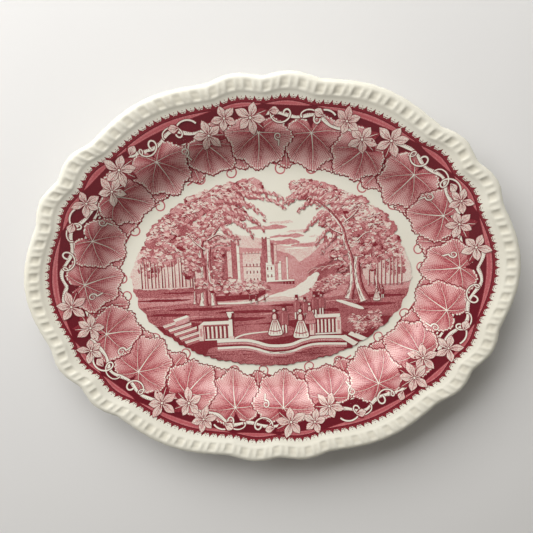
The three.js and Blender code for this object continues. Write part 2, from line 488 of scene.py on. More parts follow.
class Finish:
    """A material and its nodes."""

    def __init__(self, name):
        self.material = bpy.data.materials.new(name)
        self.material.use_nodes = True
        self.tree = self.material.node_tree
        self.shader = self.tree.nodes["Principled BSDF"]

    def plug(self, value, socket):
        if isinstance(value, Signal):
            self.tree.links.new(value.socket, socket)
        elif value is not None:
            socket.default_value = value

    def node(self, kind, settings=None, out=0, **values):
        """Adds a node: its settings first, then the values or links of its sockets."""
        node = self.tree.nodes.new(kind)
        for key, value in (settings or {}).items():
            setattr(node, key, value)
        for key, value in values.items():
            label = key.replace("_", " ")
            socket = node.inputs[int(key[1:])] if key[1:].isdigit() else node.inputs[label]
            self.plug(value, socket)
        return Signal(self, node.outputs[out])

    def place(self):
        return self.node("ShaderNodeTexCoord", out="Object")

    def noise(self, scale, detail=2.0, vector=None):
        return self.node("ShaderNodeTexNoise", None, "Fac", Vector=vector or self.place(),
                         Scale=scale, Detail=detail)

    def mix(self, share, a, b):
        """Mixes two colours."""
        node = self.tree.nodes.new("ShaderNodeMix")
        node.data_type = "RGBA"
        for value, socket in ((share, node.inputs[0]), (a, node.inputs[6]), (b, node.inputs[7])):
            if isinstance(value, (tuple, list)) or hasattr(value, "r"):
                value = (*tuple(value)[:3], 1.0)
            self.plug(value, socket)
        return Signal(self, node.outputs[2])

    def band(self, value, low, high, to_low=0.0, to_high=1.0):
        """Maps a run of values onto another, held at its ends."""
        return self.node("ShaderNodeMapRange", {"interpolation_type": "SMOOTHSTEP"}, 0,
                         Value=value, From_Min=low, From_Max=high, To_Min=to_low, To_Max=to_high)

    def finish(self, colour, roughness=None, height=None, distance=0.0002, **even):
        """Links colour, roughness and bump, and sets the even values on the shader."""
        self.plug(colour, self.shader.inputs["Base Color"])
        if roughness is not None:
            self.plug(roughness, self.shader.inputs["Roughness"])
        for key, value in even.items():
            self.shader.inputs[key.replace("_", " ")].default_value = value
        if height is not None:
            bump = self.node("ShaderNodeBump", None, 0, Height=height, Strength=1.0, Distance=distance)
            self.plug(bump, self.shader.inputs["Normal"])
        return self.material


def glaze_relief(finish):
    """The soft unevenness of a dipped glaze, as a height from 0 to 1."""
    ripple = finish.noise(55.0, 2.0)
    orange = finish.noise(420.0, 1.0)
    return ripple * 0.8 + orange * 0.06


GLAZE_GLOSS = {"IOR": 1.5}
POOLED_AND_SHADE_TONE = 0.4        # how far the glaze turns to deep ivory in the pressed hollows: pooled glaze and painted shade


def glaze_finish(name, warm):
    """Ivory glaze: soft tone changes, deep ivory in the pressed hollows for pooled glaze and painted shade,
    fine specks, toasted where it thins on the edge.
    """
    c = colours()
    f = Finish(name)
    cloud = f.noise(14.0, 3.0)
    tone = f.mix(f.band(cloud, 0.35, 0.7), c.ivory, c.shadow_ivory)
    tone = f.mix(0.25 if not warm else 0.55, c.ivory, tone)
    pooled_and_shade = f.node("ShaderNodeAttribute", {"attribute_name": "pooled_and_shade"}, "Fac")
    # painted shade and pooled glaze: deep ivory in the pressed hollows
    tone = f.mix((pooled_and_shade * POOLED_AND_SHADE_TONE).clip(), tone, c.shadow_ivory)
    speck = f.node("ShaderNodeTexVoronoi", {"feature": "F1"}, "Distance", Vector=f.place(), Scale=95.0)
    rare = f.noise(60.0, 0.0).over(0.62)
    tone = f.mix((1.0 - f.band(speck, 0.02, 0.05)) * rare * 0.5, tone, c.toasted)
    from_edge = f.node("ShaderNodeAttribute", {"attribute_name": "from_edge"}, "Fac")
    high = f.node("ShaderNodeSeparateXYZ", None, "Z", Vector=f.place())
    line = sizes().height - sizes().nose_drop
    near_line = f.band((high - line + 0.0006).size(), 0.0003, 0.0018, 1.0, 0.0)
    thin = f.band(from_edge, 0.0002, 0.0013, 1.0, 0.0) * near_line
    tone = f.mix((thin * f.band(f.noise(160.0, 2.0), 0.25, 0.6, 0.35, 1.0)).clip(), tone, c.toasted)
    rough = f.band(f.noise(90.0, 2.0), 0.3, 0.7, 0.13, 0.2)
    return f.finish(tone, rough, glaze_relief(f), 0.00025, **GLAZE_GLOSS)


def clay_finish():
    """Wiped earthenware: chalky, finely pitted, a little grey from the shelf."""
    c = colours()
    f = Finish("bare_clay")
    grain = f.noise(900.0, 3.0)
    stain = f.noise(70.0, 3.0)
    tone = f.mix(f.band(stain, 0.35, 0.75), c.clay, c.toasted)
    tone = f.mix(0.4, c.clay, tone)
    tone = f.mix(f.band(grain, 0.55, 0.75) * 0.4, tone, c.shadow_ivory)
    return f.finish(tone, f.band(grain, 0.3, 0.7, 0.75, 0.92), grain, 0.0002)


# ---------------------------------------------------------------- drawing the print

CUT = 2.0            # spacing, in mm, of the cuts that let a large motif follow the curved face
SMALL = 4.5          # motifs under this size, in mm, follow it without cuts
FLAT_REACH = 60.0    # motifs wholly within this reach, in mm, lie on the flat floor
FLOOR_HALVES = (121.0, 83.0)  # half length and half width, in mm, of what is flat
SLIVER = 1e-5        # square millimetres
LEVELS = 9           # how many levels one ink's motifs take turns on
CHART_MARGIN = 1.02  # room round the ware in its chart


def curve(points, step=1.2, closed=False):
    """Smooth run through control points, in even steps."""
    points = [Vector(p) for p in points]
    n = len(points)
    spans = n if closed else n - 1
    out = []
    for i in range(spans):
        if closed:
            p0, p1, p2, p3 = (points[(i + k) % n] for k in (-1, 0, 1, 2))
        else:
            p0, p1, p2, p3 = (points[min(n - 1, max(0, i + k))] for k in (-1, 0, 1, 2))
        count = max(1, round((p2 - p1).length / step))
        for j in range(count):
            t = j / count
            out.append(0.5 * (2 * p1 + (p2 - p0) * t + (2 * p0 - 5 * p1 + 4 * p2 - p3) * t * t
                              + (3 * p1 - p0 - 3 * p2 + p3) * t ** 3))
    if not closed:
        out.append(points[-1])
    return out


def turned(points, place=(0.0, 0.0), turn=0.0):
    """Points turned by an angle in radians and moved to a place."""
    c, s = math.cos(turn), math.sin(turn)
    return [Vector((place[0] + c * x - s * y, place[1] + s * x + c * y)) for x, y in points]


def polar(angle, reach):
    """Point at an angle and a distance from the origin."""
    return Vector((math.cos(angle) * reach, math.sin(angle) * reach))


class Ink:
    """All the motifs of one ink: drawn flat in millimetres, then laid on the glazed face."""

    def __init__(self, name, spread=0.0006):
        self.name = name
        self.spread = spread     # keeps overlapping motifs of the ink off one plane
        self.bm = bmesh.new()
        self.lift = self.bm.verts.layers.float.new("lift")
        self.local = self.bm.loops.layers.uv.new("motif")
        self.count = 0

    def fill(self, outline, lift=0.0, local=None):
        """A closed outline filled with ink; local gives each point's place within its motif."""
        outline = [Vector(p) for p in outline]
        local = [Vector(p) for p in (local or outline)]
        area = sum(a.x * b.y - b.x * a.y for a, b in zip(outline, outline[1:] + outline[:1]))
        if area < 0:
            outline.reverse()
            local.reverse()
        self.count += 1
        level = lift + (self.count % LEVELS) * self.spread
        xs = [p.x for p in outline]
        ys = [p.y for p in outline]
        large = max(max(xs) - min(xs), max(ys) - min(ys)) > SMALL
        bm = bmesh.new() if large else self.bm
        lift_layer = bm.verts.layers.float.new("lift") if large else self.lift
        local_layer = bm.loops.layers.uv.new("motif") if large else self.local
        verts = [bm.verts.new((*p, 0.0)) for p in outline]
        for v in verts:
            v[lift_layer] = level
        face = bm.faces.new(verts)
        for loop, place in zip(face.loops, local):
            loop[local_layer].uv = place
        if not large:
            return
        reach = [math.hypot(x, y) for x, y in zip(xs, ys)]
        if max(reach) > FLAT_REACH and not all(on_floor(p) for p in outline):
            for axis, values in ((0, xs), (1, ys)):
                at = math.ceil(min(values) / CUT) * CUT
                while at < max(values):
                    where = [0.0, 0.0, 0.0]
                    where[axis] = at
                    across = [0.0, 0.0, 0.0]
                    across[axis] = 1.0
                    bmesh.ops.bisect_plane(bm, geom=bm.verts[:] + bm.edges[:] + bm.faces[:],
                                           plane_co=where, plane_no=across, dist=1e-4)
                    at += CUT
        mesh = bpy.data.meshes.new("motif")
        bm.to_mesh(mesh)
        bm.free()
        self.bm.from_mesh(mesh)
        bpy.data.meshes.remove(mesh)

    def ribbon(self, path, width, lift=0.0, end=None):
        """A line of ink along a path; width may taper to end, or be a function of the share run."""
        self.count += 1
        level = lift + (self.count % LEVELS) * self.spread
        n = len(path)
        last = None
        for i, p in enumerate(path):
            along = path[min(n - 1, i + 1)] - path[max(0, i - 1)]
            if along.length < 1e-6:
                continue
            side = Vector((-along.y, along.x)).normalized()
            share = i / max(1, n - 1)
            if callable(width):
                half = width(share) / 2
            else:
                half = (width + ((width if end is None else end) - width) * share) / 2
            pair = []
            for sign in (1.0, -1.0):
                v = self.bm.verts.new((*(p + side * half * sign), 0.0))
                v[self.lift] = level
                pair.append(v)
            if last:
                face = self.bm.faces.new((last[0], last[1], pair[1], pair[0]))
                for loop, place in zip(face.loops, ((share, 1), (share, -1), (share, -1), (share, 1))):
                    loop[self.local].uv = place
            last = pair

    def dot(self, place, size, lift, sides, turn=0.0):
        """A round spot of ink with a few sides."""
        self.fill([Vector(place) + polar(turn + TURN * i / sides, size / 2) for i in range(sides)], lift)

    def lay(self, material, form):
        """Lays the drawn motifs on the face and hands the piece over."""
        bm = self.bm
        bmesh.ops.triangulate(bm, faces=[face for face in bm.faces if len(face.verts) > 4])
        bm.normal_update()
        slivers = [face for face in bm.faces if face.calc_area() < SLIVER]
        bmesh.ops.delete(bm, geom=slivers, context="FACES")
        bmesh.ops.reverse_faces(bm, faces=[face for face in bm.faces if face.normal.z < 0.0])
        piece = mesh_piece(self.name, bm)
        mesh = piece.data
        co = np.empty(len(mesh.vertices) * 3)
        mesh.vertices.foreach_get("co", co)
        co = co.reshape(-1, 3) * MM
        lift = np.empty(len(mesh.vertices))
        mesh.attributes["lift"].data.foreach_get("value", lift)
        normals = form.normals(co[:, 0], co[:, 1])
        co[:, 2] = form.face(co[:, 0], co[:, 1])
        co += normals * (lift * MM)[:, None]
        mesh.vertices.foreach_set("co", co.ravel())
        mesh.attributes.remove(mesh.attributes["lift"])
        chart = mesh.uv_layers.new(name="OFBake")
        corner = np.empty(len(mesh.loops), dtype=np.int32)
        mesh.loops.foreach_get("vertex_index", corner)
        span = form.s.length * CHART_MARGIN
        chart.data.foreach_set("uv", (co[corner, :2] / span + 0.5).ravel())
        mesh.normals_split_custom_set_from_vertices(normals.tolist())
        mesh.update()
        hand_over(piece, material, "ivory_glaze")
        return piece


def on_floor(p):
    """Whether a plan point in millimetres lies over the flat floor of the well."""
    return math.hypot(p.x / FLOOR_HALVES[0], p.y / FLOOR_HALVES[1]) < 1.0


# ---------------------------------------------------------------- inks

def ink_finish(name, light, dark, cover=0.5, grain=2400.0, contrast=0.16, patch=0.12, lines=None):
    """Engraved ink under glaze: fine stipple of dark on light, uneven over the print.

    lines is (lines per metre, strength) for ruled lines along the long axis."""
    f = Finish(name)
    place = f.place()
    stipple = f.noise(grain, 2.0, place)
    wander = (f.noise(38.0, 3.0, place) - 0.5) * patch * 2.0
    level = stipple + wander + (cover - 0.5) * 0.5
    if lines:
        y = f.node("ShaderNodeSeparateXYZ", None, "Y", Vector=place)
        wave = (y * (lines[0] * TURN) + f.noise(30.0, 1.0, place) * 6.0).sum("SINE")
        level = level + wave * lines[1]
    share = f.band(level, 0.5 - contrast, 0.5 + contrast)
    return f.finish(f.mix(share, light, dark), f.band(f.noise(90.0, 2.0), 0.3, 0.7, 0.12, 0.18),
                    glaze_relief(f), 0.00025, **GLAZE_GLOSS)


def leaf_finish(name, light, dark, cover):
    """Leaf engraving: fine lines that run out from the stalk between stippled patches."""
    f = Finish(name)
    motif = f.node("ShaderNodeUVMap", {"uv_map": "motif"})
    u = f.node("ShaderNodeSeparateXYZ", None, "X", Vector=motif)
    v = f.node("ShaderNodeSeparateXYZ", None, "Y", Vector=motif)
    turn = v.sum("ARCTAN2", u)
    reach = (u * u + v * v) ** 0.5
    wander = f.noise(160.0, 2.0)
    fan = (turn * 96.0 + wander * 9.0).sum("SINE")
    ring = (reach * 4.6 + wander * 7.0).sum("SINE")
    between = (turn * 8.2).sum("COSINE")
    stipple = f.noise(2400.0, 1.0)
    level = stipple * 0.5 + 0.25 + fan * 0.12 + ring * 0.06 + between * 0.08
    level = level + (reach / 30.0 - 0.55) * -0.42 + (cover - 0.5) * 0.5 + (f.noise(60.0, 2.0) - 0.5) * 0.16
    share = f.band(level, 0.34, 0.66)
    return f.finish(f.mix(share, light, dark), f.band(f.noise(90.0, 2.0), 0.3, 0.7, 0.12, 0.18),
                    glaze_relief(f), 0.00025, **GLAZE_GLOSS)


# ---------------------------------------------------------------- motifs of the vine border

LEAF_REACH = (  # degrees from the tip, reach
    (0.0, 1.0), (24.0, 0.84), (42.0, 0.93), (64.0, 0.80), (86.0, 0.90), (108.0, 0.70),
    (132.0, 0.58), (156.0, 0.40), (170.0, 0.2), (180.0, 0.05))
LEAF_RIBS = (0.0, 42.0, -42.0, 86.0, -86.0, 130.0, -130.0)  # degrees from the tip

# Millimetres off the glaze, so that each kind of motif lies over the one before it.
GROUND_LIFT = 0.03
EDGING_LIFT = 0.036
WARE_CURL_LIFT = 0.05
LEAF_LIFT = 0.06
LEAF_STEP = 0.09         # from one layer of leaves to the next
STEM_LIFT = 0.38
CURL_LIFT = 0.39
TENDRIL_LIFT = 0.41
BUD_LIFT = 0.45
FLOWER_LIFT = 0.46
STEM_WIDTH = 2.4
TENDRIL_WIDTH = 1.3


def leaf_reach(turn, heart):
    """Reach of a smooth leaf at an angle from its tip, as a share of its length."""
    a = abs(math.degrees(math.atan2(math.sin(turn), math.cos(turn))))
    reach = LEAF_REACH[-1][1]
    for (a0, r0), (a1, r1) in zip(LEAF_REACH, LEAF_REACH[1:]):
        if a <= a1:
            t = (a - a0) / (a1 - a0)
            t = t if a0 == 0.0 else t * t * (3.0 - 2.0 * t)
            reach = r0 + (r1 - r0) * t
            break
    return max(reach, 0.78 + 0.12 * heart) if 24.0 < a < 90.0 else reach


def leaf_outline(long, broad, teeth, heart, shrink=0.0, steps=4):
    """Toothed outline of a vine leaf, tip along +x, stalk at the origin."""
    out = []
    for i in range(teeth * steps):
        turn = -math.pi + TURN * i / (teeth * steps)
        phase = (i % steps) / steps
        tooth = (phase ** 1.5 if turn < 0 else (1.0 - phase) ** 1.5) if phase or turn > 0 else 0.0
        reach = leaf_reach(turn, heart) * (0.965 + 0.06 * tooth)
        p = polar(turn, reach)
        p = Vector((p.x * long, p.y * broad / 1.72))
        out.append(p - p.normalized() * shrink if p.length > shrink * 2 else p * 0.5)
    return out


class Border:
    """The inks of the vine border and the motifs drawn with them."""

    def __init__(self, form):
        self.form = form
        self.rng = random.Random(11)
        self.ground = Ink("border_ground")
        self.panels = Ink("edge_panels")
        self.line = Ink("crimson_lines")
        self.leaves = [Ink("vine_leaves_%d" % (layer + 1)) for layer in range(4)]
        self.pale = Ink("ivory_reserve")
        self.petals = Ink("flower_petals")
        self.dark_petals = Ink("dark_petals")

    def frame(self, share, inset):
        """Place on the rim and the direction in towards the well."""
        here = self.form.on_rim(share, inset)
        inner = self.form.on_rim(share, inset + 4.0)
        way = inner - here
        return here, math.atan2(way.y, way.x)

    def both(self, draw, share, inset, *rest):
        """Draws a motif in each half of the border, the second turned half round."""
        for half in (0.0, 0.5):
            here, turn = self.frame(share + half, inset)
            draw(here, turn, *rest)

    def rim_path(self, run):
        """Smooth path through (share, inset) points."""
        return curve([self.form.on_rim(a, b) for a, b in run], 1.3)

    def leaf(self, here, turn, long, broad, lean, heart, layer):
        turn += math.radians(lean)
        teeth = round((long + broad) * 0.5)
        base = LEAF_LIFT + LEAF_STEP * layer
        outer = leaf_outline(long, broad, teeth, heart)
        inner = leaf_outline(long, broad, teeth, heart, 1.0)
        self.line.fill(turned(outer, here, turn), base)
        self.leaves[layer].fill(turned(inner, here, turn), base + 0.025, inner)
        rib = []
        for at in LEAF_RIBS:
            a = math.radians(at)
            tip = polar(a, leaf_reach(a, heart) * 0.92)
            tip = Vector((tip.x * long, tip.y * broad / 1.72))
            bend = Vector((-tip.y, tip.x)) * (0.05 if at > 0 else -0.05 if at < 0 else 0.03)
            rib.append(curve([Vector((0, 0)), tip * 0.5 + bend, tip], 1.2))
        for path in rib:
            span = (path[-1] - path[0]).length
            for k in range(1, 6):
                root = path[int(len(path) * k / 7)]
                ahead = path[min(len(path) - 1, int(len(path) * k / 7) + 1)] - root
                for side in (-1, 1):
                    way = math.atan2(ahead.y, ahead.x) + side * math.radians(44)
                    reach = span * (0.34 - 0.04 * k)
                    twig = curve([root, root + polar(way, reach * 0.55),
                                  root + polar(way - side * 0.25, reach)], 1.5)
                    self.line.ribbon(turned(twig, here, turn), 0.36, base + 0.05, 0.14)
            wide = 0.95 if path is rib[0] else 0.45
            self.line.ribbon(turned(path, here, turn), wide + 0.3, base + 0.055, 0.22)
            self.pale.ribbon(turned(path, here, turn), wide, base + 0.065, 0.1)
        beads = leaf_outline(long, broad, teeth, heart, 1.8, 2)
        for i, p in enumerate(beads):
            if leaf_reach(math.atan2(p.y, p.x), heart) > 0.3:
                size = 1.1 + 0.5 * self.rng.random()
                self.pale.dot(turned([p], here, turn)[0], size, base + 0.06, 5, i)

    def petal(self, here, way, long, broad, ink, lift):
        """One pointed petal with an inked edge and streaks."""
        shape = [(0.20, 0.22), (0.44, 0.46), (0.62, 0.50), (0.82, 0.30), (0.95, 0.07)]
        side = [(x * long, y * broad) for x, y in shape]
        ring = curve([(0.0, 0.0), *side, (long, 0.0), *[(x, -y) for x, y in side[::-1]]], 1.0, True)
        bend = self.rng.uniform(-0.16, 0.16)
        ring = [Vector((p.x, p.y + bend * p.x * p.x / long)) for p in ring]
        grown = [p + (p - Vector((long * 0.5, 0))).normalized() * 0.42 for p in ring]
        self.line.fill(turned(grown, here, way), lift)
        ink.fill(turned(ring, here, way), lift + 0.012, ring)
        rib = [(long * 0.06, 0.0), (long * 0.45, broad * 0.03), (long * 0.86, 0.0)]
        if ink is self.dark_petals:
            self.pale.ribbon(turned(curve(rib), here, way), 0.6, lift + 0.022, 0.25)
            return
        self.line.ribbon(turned(curve(rib), here, way), 0.5, lift + 0.022, 0.18)
        for side_sign in (-1, 1):
            streak = [(long * 0.12, 0.0), (long * 0.4, broad * 0.17 * side_sign),
                      (long * 0.62, broad * 0.2 * side_sign)]
            self.line.ribbon(turned(curve(streak), here, way), 0.42, lift + 0.022, 0.12)

    def flower(self, here, turn, size, spin, dark=0, count=5):
        """Star of pointed petals; the first few may be dark leaves behind the star."""
        turn += math.radians(spin)
        for k in range(dark):
            way = turn + math.radians(40 + 62 * k)
            self.petal(here, way, size * 1.15, size * 0.5, self.dark_petals, FLOWER_LIFT - 0.02)
        for k in range(count):
            way = turn + TURN * k / count + self.rng.uniform(-0.12, 0.12)
            long = size * self.rng.uniform(0.85, 1.1)
            self.petal(here, way, long, size * 0.50, self.petals, FLOWER_LIFT + 0.02 * k)
        self.line.dot(here, size * 0.26, FLOWER_LIFT + 0.15, 8)
        self.pale.dot(here, size * 0.16, FLOWER_LIFT + 0.16, 8)

    def bud(self, here, turn, size, spin):
        """Closed bud between two dark sepals."""
        way = turn + math.radians(spin)
        self.petal(here, way, size, size * 0.75, self.petals, BUD_LIFT)
        for side in (-0.45, 0.45):
            self.petal(here, way + side, size * 0.8, size * 0.4, self.dark_petals, BUD_LIFT - 0.02)

    def stem(self, run):
        """Knotty woody stem: ivory with an inked edge and cross ticks."""
        path = self.rim_path(run)
        knot = self.rng.uniform(0, 6)

        def swell(t):
            return STEM_WIDTH * (1.0 + 0.16 * math.sin(knot + t * len(path) * 0.55))

        self.line.ribbon(path, lambda t: swell(t) + 0.9, STEM_LIFT)
        self.pale.ribbon(path, swell, STEM_LIFT + 0.007)
        for i in range(1, len(path) - 1):
            along = (path[i + 1] - path[i - 1]).normalized()
            side = Vector((-along.y, along.x))
            edge = side * STEM_WIDTH * 0.5
            reach = self.rng.uniform(0.25, 0.55)
            tick = [path[i] - edge, path[i] - edge * (1 - 2 * reach) + along * 0.4]
            self.line.ribbon(tick, 0.42, STEM_LIFT + 0.014, 0.15)

    def tendril(self, start, end, inset, loops, size, phase):
        """Wiry tendril that runs along the rim in open loops."""
        steps = int(abs(loops) * 30 + 12)
        path = []
        for i in range(steps + 1):
            t = i / steps
            a = phase + t * loops * TURN
            swell = size * (1.0 - 0.35 * t) * min(1.0, 3.0 * (1.0 - t) + 0.35)
            here, turn = self.frame(start + (end - start) * t, inset)
            path.append(here + polar(turn + math.pi / 2 + a, swell))
        self.line.ribbon(path, TENDRIL_WIDTH + 0.8, TENDRIL_LIFT)
        self.pale.ribbon(path, TENDRIL_WIDTH, TENDRIL_LIFT + 0.015, TENDRIL_WIDTH * 0.6)

    def curl(self, here, turn, size, spin, flip, turns=1.3, ivory=True):
        """Coiled tendril end: ivory on the ground, or pink where it lies on bare ware."""
        way = turn + math.radians(spin)
        steps = int(26 * turns)
        path = []
        for i in range(steps + 1):
            t = i / steps
            a = flip * t * turns * TURN
            reach = size * (1.0 - 0.72 * t) / 2
            path.append(Vector((size * 0.5, 0)) + polar(math.pi + a, reach))
        path = [Vector((-size * 0.7, -flip * size * 0.25)), *path]
        path = turned(curve(path, 0.9), here, way)
        if not ivory:
            self.panels.ribbon(path, 1.3, WARE_CURL_LIFT, 0.9)
            return
        self.line.ribbon(path, 2.0, CURL_LIFT, 0.8)
        self.pale.ribbon(path, 1.2, CURL_LIFT + 0.007, 0.4)


# ---------------------------------------------------------------- operators: the ware

class PLATTER_OT_clay_body(bpy.types.Operator):
    """Pressed clay body, bare on the foot ring"""
    bl_idname = "platter.clay_body"
    bl_label = "Clay body"

    def execute(self, context):
        s = sizes()
        form = Form(s)
        inside_foot = form.base_section()
        under_base = sunk(inside_foot, [s.glaze] * len(inside_foot))
        under_base[-1] = (form.half_length, s.foot_height + s.glaze)
        outer = form.well_inset - s.foot_outset + s.glaze
        inner = outer + s.foot_width - 2 * s.glaze
        r = s.foot_round
        bare = [(outer + r * 0.35, s.wiped_height * 0.45), (outer + r * 0.65, s.wiped_height * 0.13),
                (outer + r * 1.1, 0.0), ((outer + inner) / 2, 0.0), (inner - r * 1.1, 0.0),
                (inner - r * 0.65, s.wiped_height * 0.13), (inner - r * 0.35, s.wiped_height * 0.45)]
        section = form.clay_section() + bare + under_base
        piece = throw("clay_body", section, form, s.scoop_pairs, len(PAIR_STEPS) - 1)
        hand_over(piece, clay_finish(), "bisque_clay", "earthenware_body")
        return {"FINISHED"}


class PLATTER_OT_glaze(bpy.types.Operator):
    """Glaze over face, gadrooned edge and back, ending at the wiped foot"""
    bl_idname = "platter.glaze"
    bl_label = "Glaze coat"

    def execute(self, context):
        s = sizes()
        form = Form(s)
        outside = form.face_section() + form.back_section() + form.foot_section()
        lining = form.clay_section(LINING_SHARE)
        section = outside + lining[::-1]
        piece = throw("glazed_face_and_back", section, form, s.scoop_pairs, len(PAIR_STEPS) - 1, EDGE_NICK)
        hand_over(piece, glaze_finish("ivory_glaze", False), "ivory_glaze", "glaze_coat")
        return {"FINISHED"}


class PLATTER_OT_base_glaze(bpy.types.Operator):
    """Glaze pooled inside the foot ring"""
    bl_idname = "platter.base_glaze"
    bl_label = "Base glaze"

    def execute(self, context):
        s = sizes()
        form = Form(s)
        outside = form.base_section()
        lining = sunk(outside, [s.glaze * LINING_SHARE] * len(outside))
        lining[-1] = (form.half_length, s.foot_height + s.glaze)
        piece = throw("glazed_base", lining[::-1] + outside, form, s.scoop_pairs, 6)
        hand_over(piece, glaze_finish("base_glaze", True), "base_glaze", "base_glaze")
        return {"FINISHED"}


# ---------------------------------------------------------------- operators: the vine border

PICOTS = 152
PICOT_INSET = 19.0       # millimetres in from the edge of the ware
GROUND_COLUMNS = 468
EDGING_COLUMNS = 504
VINE_LEAVES = (  # share of the way round, inset, length, breadth, lean in degrees, heart shape, layer
    (0.000, 42.0, 31.0, 50.0, 8.0, 0.1, 1), (0.052, 44.0, 29.0, 46.0, -24.0, 0.7, 2),
    (0.101, 41.0, 32.0, 52.0, 14.0, 0.0, 1), (0.153, 43.0, 30.0, 48.0, -16.0, 0.3, 3),
    (0.206, 41.0, 32.0, 50.0, 20.0, 0.6, 1), (0.256, 42.0, 31.0, 54.0, -8.0, 0.0, 2),
    (0.308, 44.0, 29.0, 46.0, 22.0, 0.8, 1), (0.357, 41.0, 32.0, 50.0, -18.0, 0.2, 3),
    (0.408, 42.0, 31.0, 52.0, 12.0, 0.0, 1), (0.457, 44.0, 29.0, 46.0, -24.0, 0.6, 2))
BACK_LEAVES = (
    (0.026, 48.0, 24.0, 38.0, -8.0, 0.8, 0), (0.127, 47.0, 25.0, 40.0, 6.0, 0.5, 0),
    (0.180, 48.0, 24.0, 38.0, -14.0, 0.7, 0), (0.231, 48.0, 24.0, 38.0, 12.0, 0.8, 0),
    (0.283, 47.0, 25.0, 40.0, 10.0, 0.5, 0), (0.333, 48.0, 24.0, 38.0, -10.0, 0.8, 0),
    (0.383, 47.0, 25.0, 40.0, 4.0, 0.7, 0), (0.433, 48.0, 24.0, 38.0, 8.0, 0.6, 0),
    (0.480, 48.0, 24.0, 38.0, 6.0, 0.6, 0), (0.077, 48.0, 24.0, 38.0, -4.0, 0.6, 0))
FLOWERS = (  # share, inset, petal length, turn in degrees, dark leaves, petals
    (0.018, 30.0, 12.3, 20.0, 1, 5), (0.041, 36.5, 11.8, 65.0, 2, 5), (0.060, 28.5, 10.6, 10.0, 0, 5),
    (0.139, 29.5, 12.9, -15.0, 1, 5), (0.160, 37.0, 12.3, 40.0, 2, 5), (0.180, 28.5, 11.2, 75.0, 0, 6),
    (0.262, 31.0, 12.9, 5.0, 2, 5), (0.284, 28.5, 11.2, 50.0, 0, 5), (0.302, 38.0, 11.8, 30.0, 1, 5),
    (0.384, 30.0, 12.9, -30.0, 2, 5), (0.405, 37.5, 11.8, 15.0, 1, 5), (0.424, 28.5, 11.2, 60.0, 0, 5))
BUDS = ((0.078, 27.0, 8.0, 100.0), (0.200, 27.5, 8.5, -100.0), (0.246, 26.5, 8.0, 95.0),
        (0.322, 27.0, 8.5, -110.0), (0.368, 26.5, 8.0, 110.0), (0.444, 27.0, 8.5, -95.0))
STEMS = (
    ((0.050, 33), (0.070, 34), (0.086, 28), (0.102, 32), (0.120, 27), (0.138, 30)),
    ((0.172, 33), (0.190, 34), (0.206, 27.5), (0.222, 31), (0.242, 28), (0.262, 31)),
    ((0.296, 33), (0.314, 33.5), (0.330, 27.5), (0.348, 32), (0.366, 28), (0.384, 30)),
    ((0.418, 33), (0.436, 34), (0.452, 27.5), (0.470, 32), (0.488, 27), (0.500, 30)),
    ((0.000, 30), (0.012, 26), (0.022, 29)))
TENDRILS = (  # start and end share, inset, loops, size, phase in turns
    (0.071, 0.094, 28.5, 1.7, 6.0, 0.05), (0.104, 0.121, 31.0, -1.6, 5.4, 0.5),
    (0.196, 0.219, 28.5, 1.75, 5.8, 0.1), (0.228, 0.246, 31.0, -1.5, 5.4, 0.45),
    (0.314, 0.338, 28.5, 1.75, 6.0, 0.0), (0.346, 0.363, 31.0, -1.6, 5.4, 0.5),
    (0.437, 0.460, 28.5, 1.7, 5.8, 0.1), (0.470, 0.487, 31.0, -1.5, 5.4, 0.45))
GROUND_CURLS = (  # share, inset, size, turn in degrees, hand
    (0.076, 47.0, 6.5, 160.0, 1), (0.236, 48.0, 6.0, 200.0, -1), (0.331, 47.0, 6.5, 170.0, 1),
    (0.437, 48.0, 6.0, 190.0, -1), (0.013, 49.0, 6.0, 180.0, 1))
WARE_CURLS = (
    (0.026, 67.0, 10.5, 60.0, 1), (0.077, 67.0, 11.0, -60.0, -1), (0.130, 68.0, 10.0, 70.0, 1),
    (0.186, 67.0, 10.5, -60.0, -1), (0.237, 68.0, 10.0, 50.0, 1), (0.291, 67.0, 10.5, -55.0, -1),
    (0.343, 67.5, 10.0, 65.0, 1), (0.391, 67.0, 10.5, -60.0, -1), (0.444, 68.0, 10.0, 55.0, 1),
    (0.493, 67.0, 10.5, -65.0, -1))


def edge_rows(form, ink, insets, columns, lift):
    """Fills the rim between contours; each inset is a number or a function of the share run."""
    last = None
    for inset in insets:
        at = inset if callable(inset) else (lambda share, inset=inset: inset)
        ring = []
        for i in range(columns):
            share = i / columns
            v = ink.bm.verts.new((*form.on_rim(share, at(share)), 0.0))
            v[ink.lift] = lift
            ring.append(v)
        if last:
            for i in range(columns):
                j = (i + 1) % columns
                ink.bm.faces.new((ring[i], last[i], last[j], ring[j]))
        last = ring


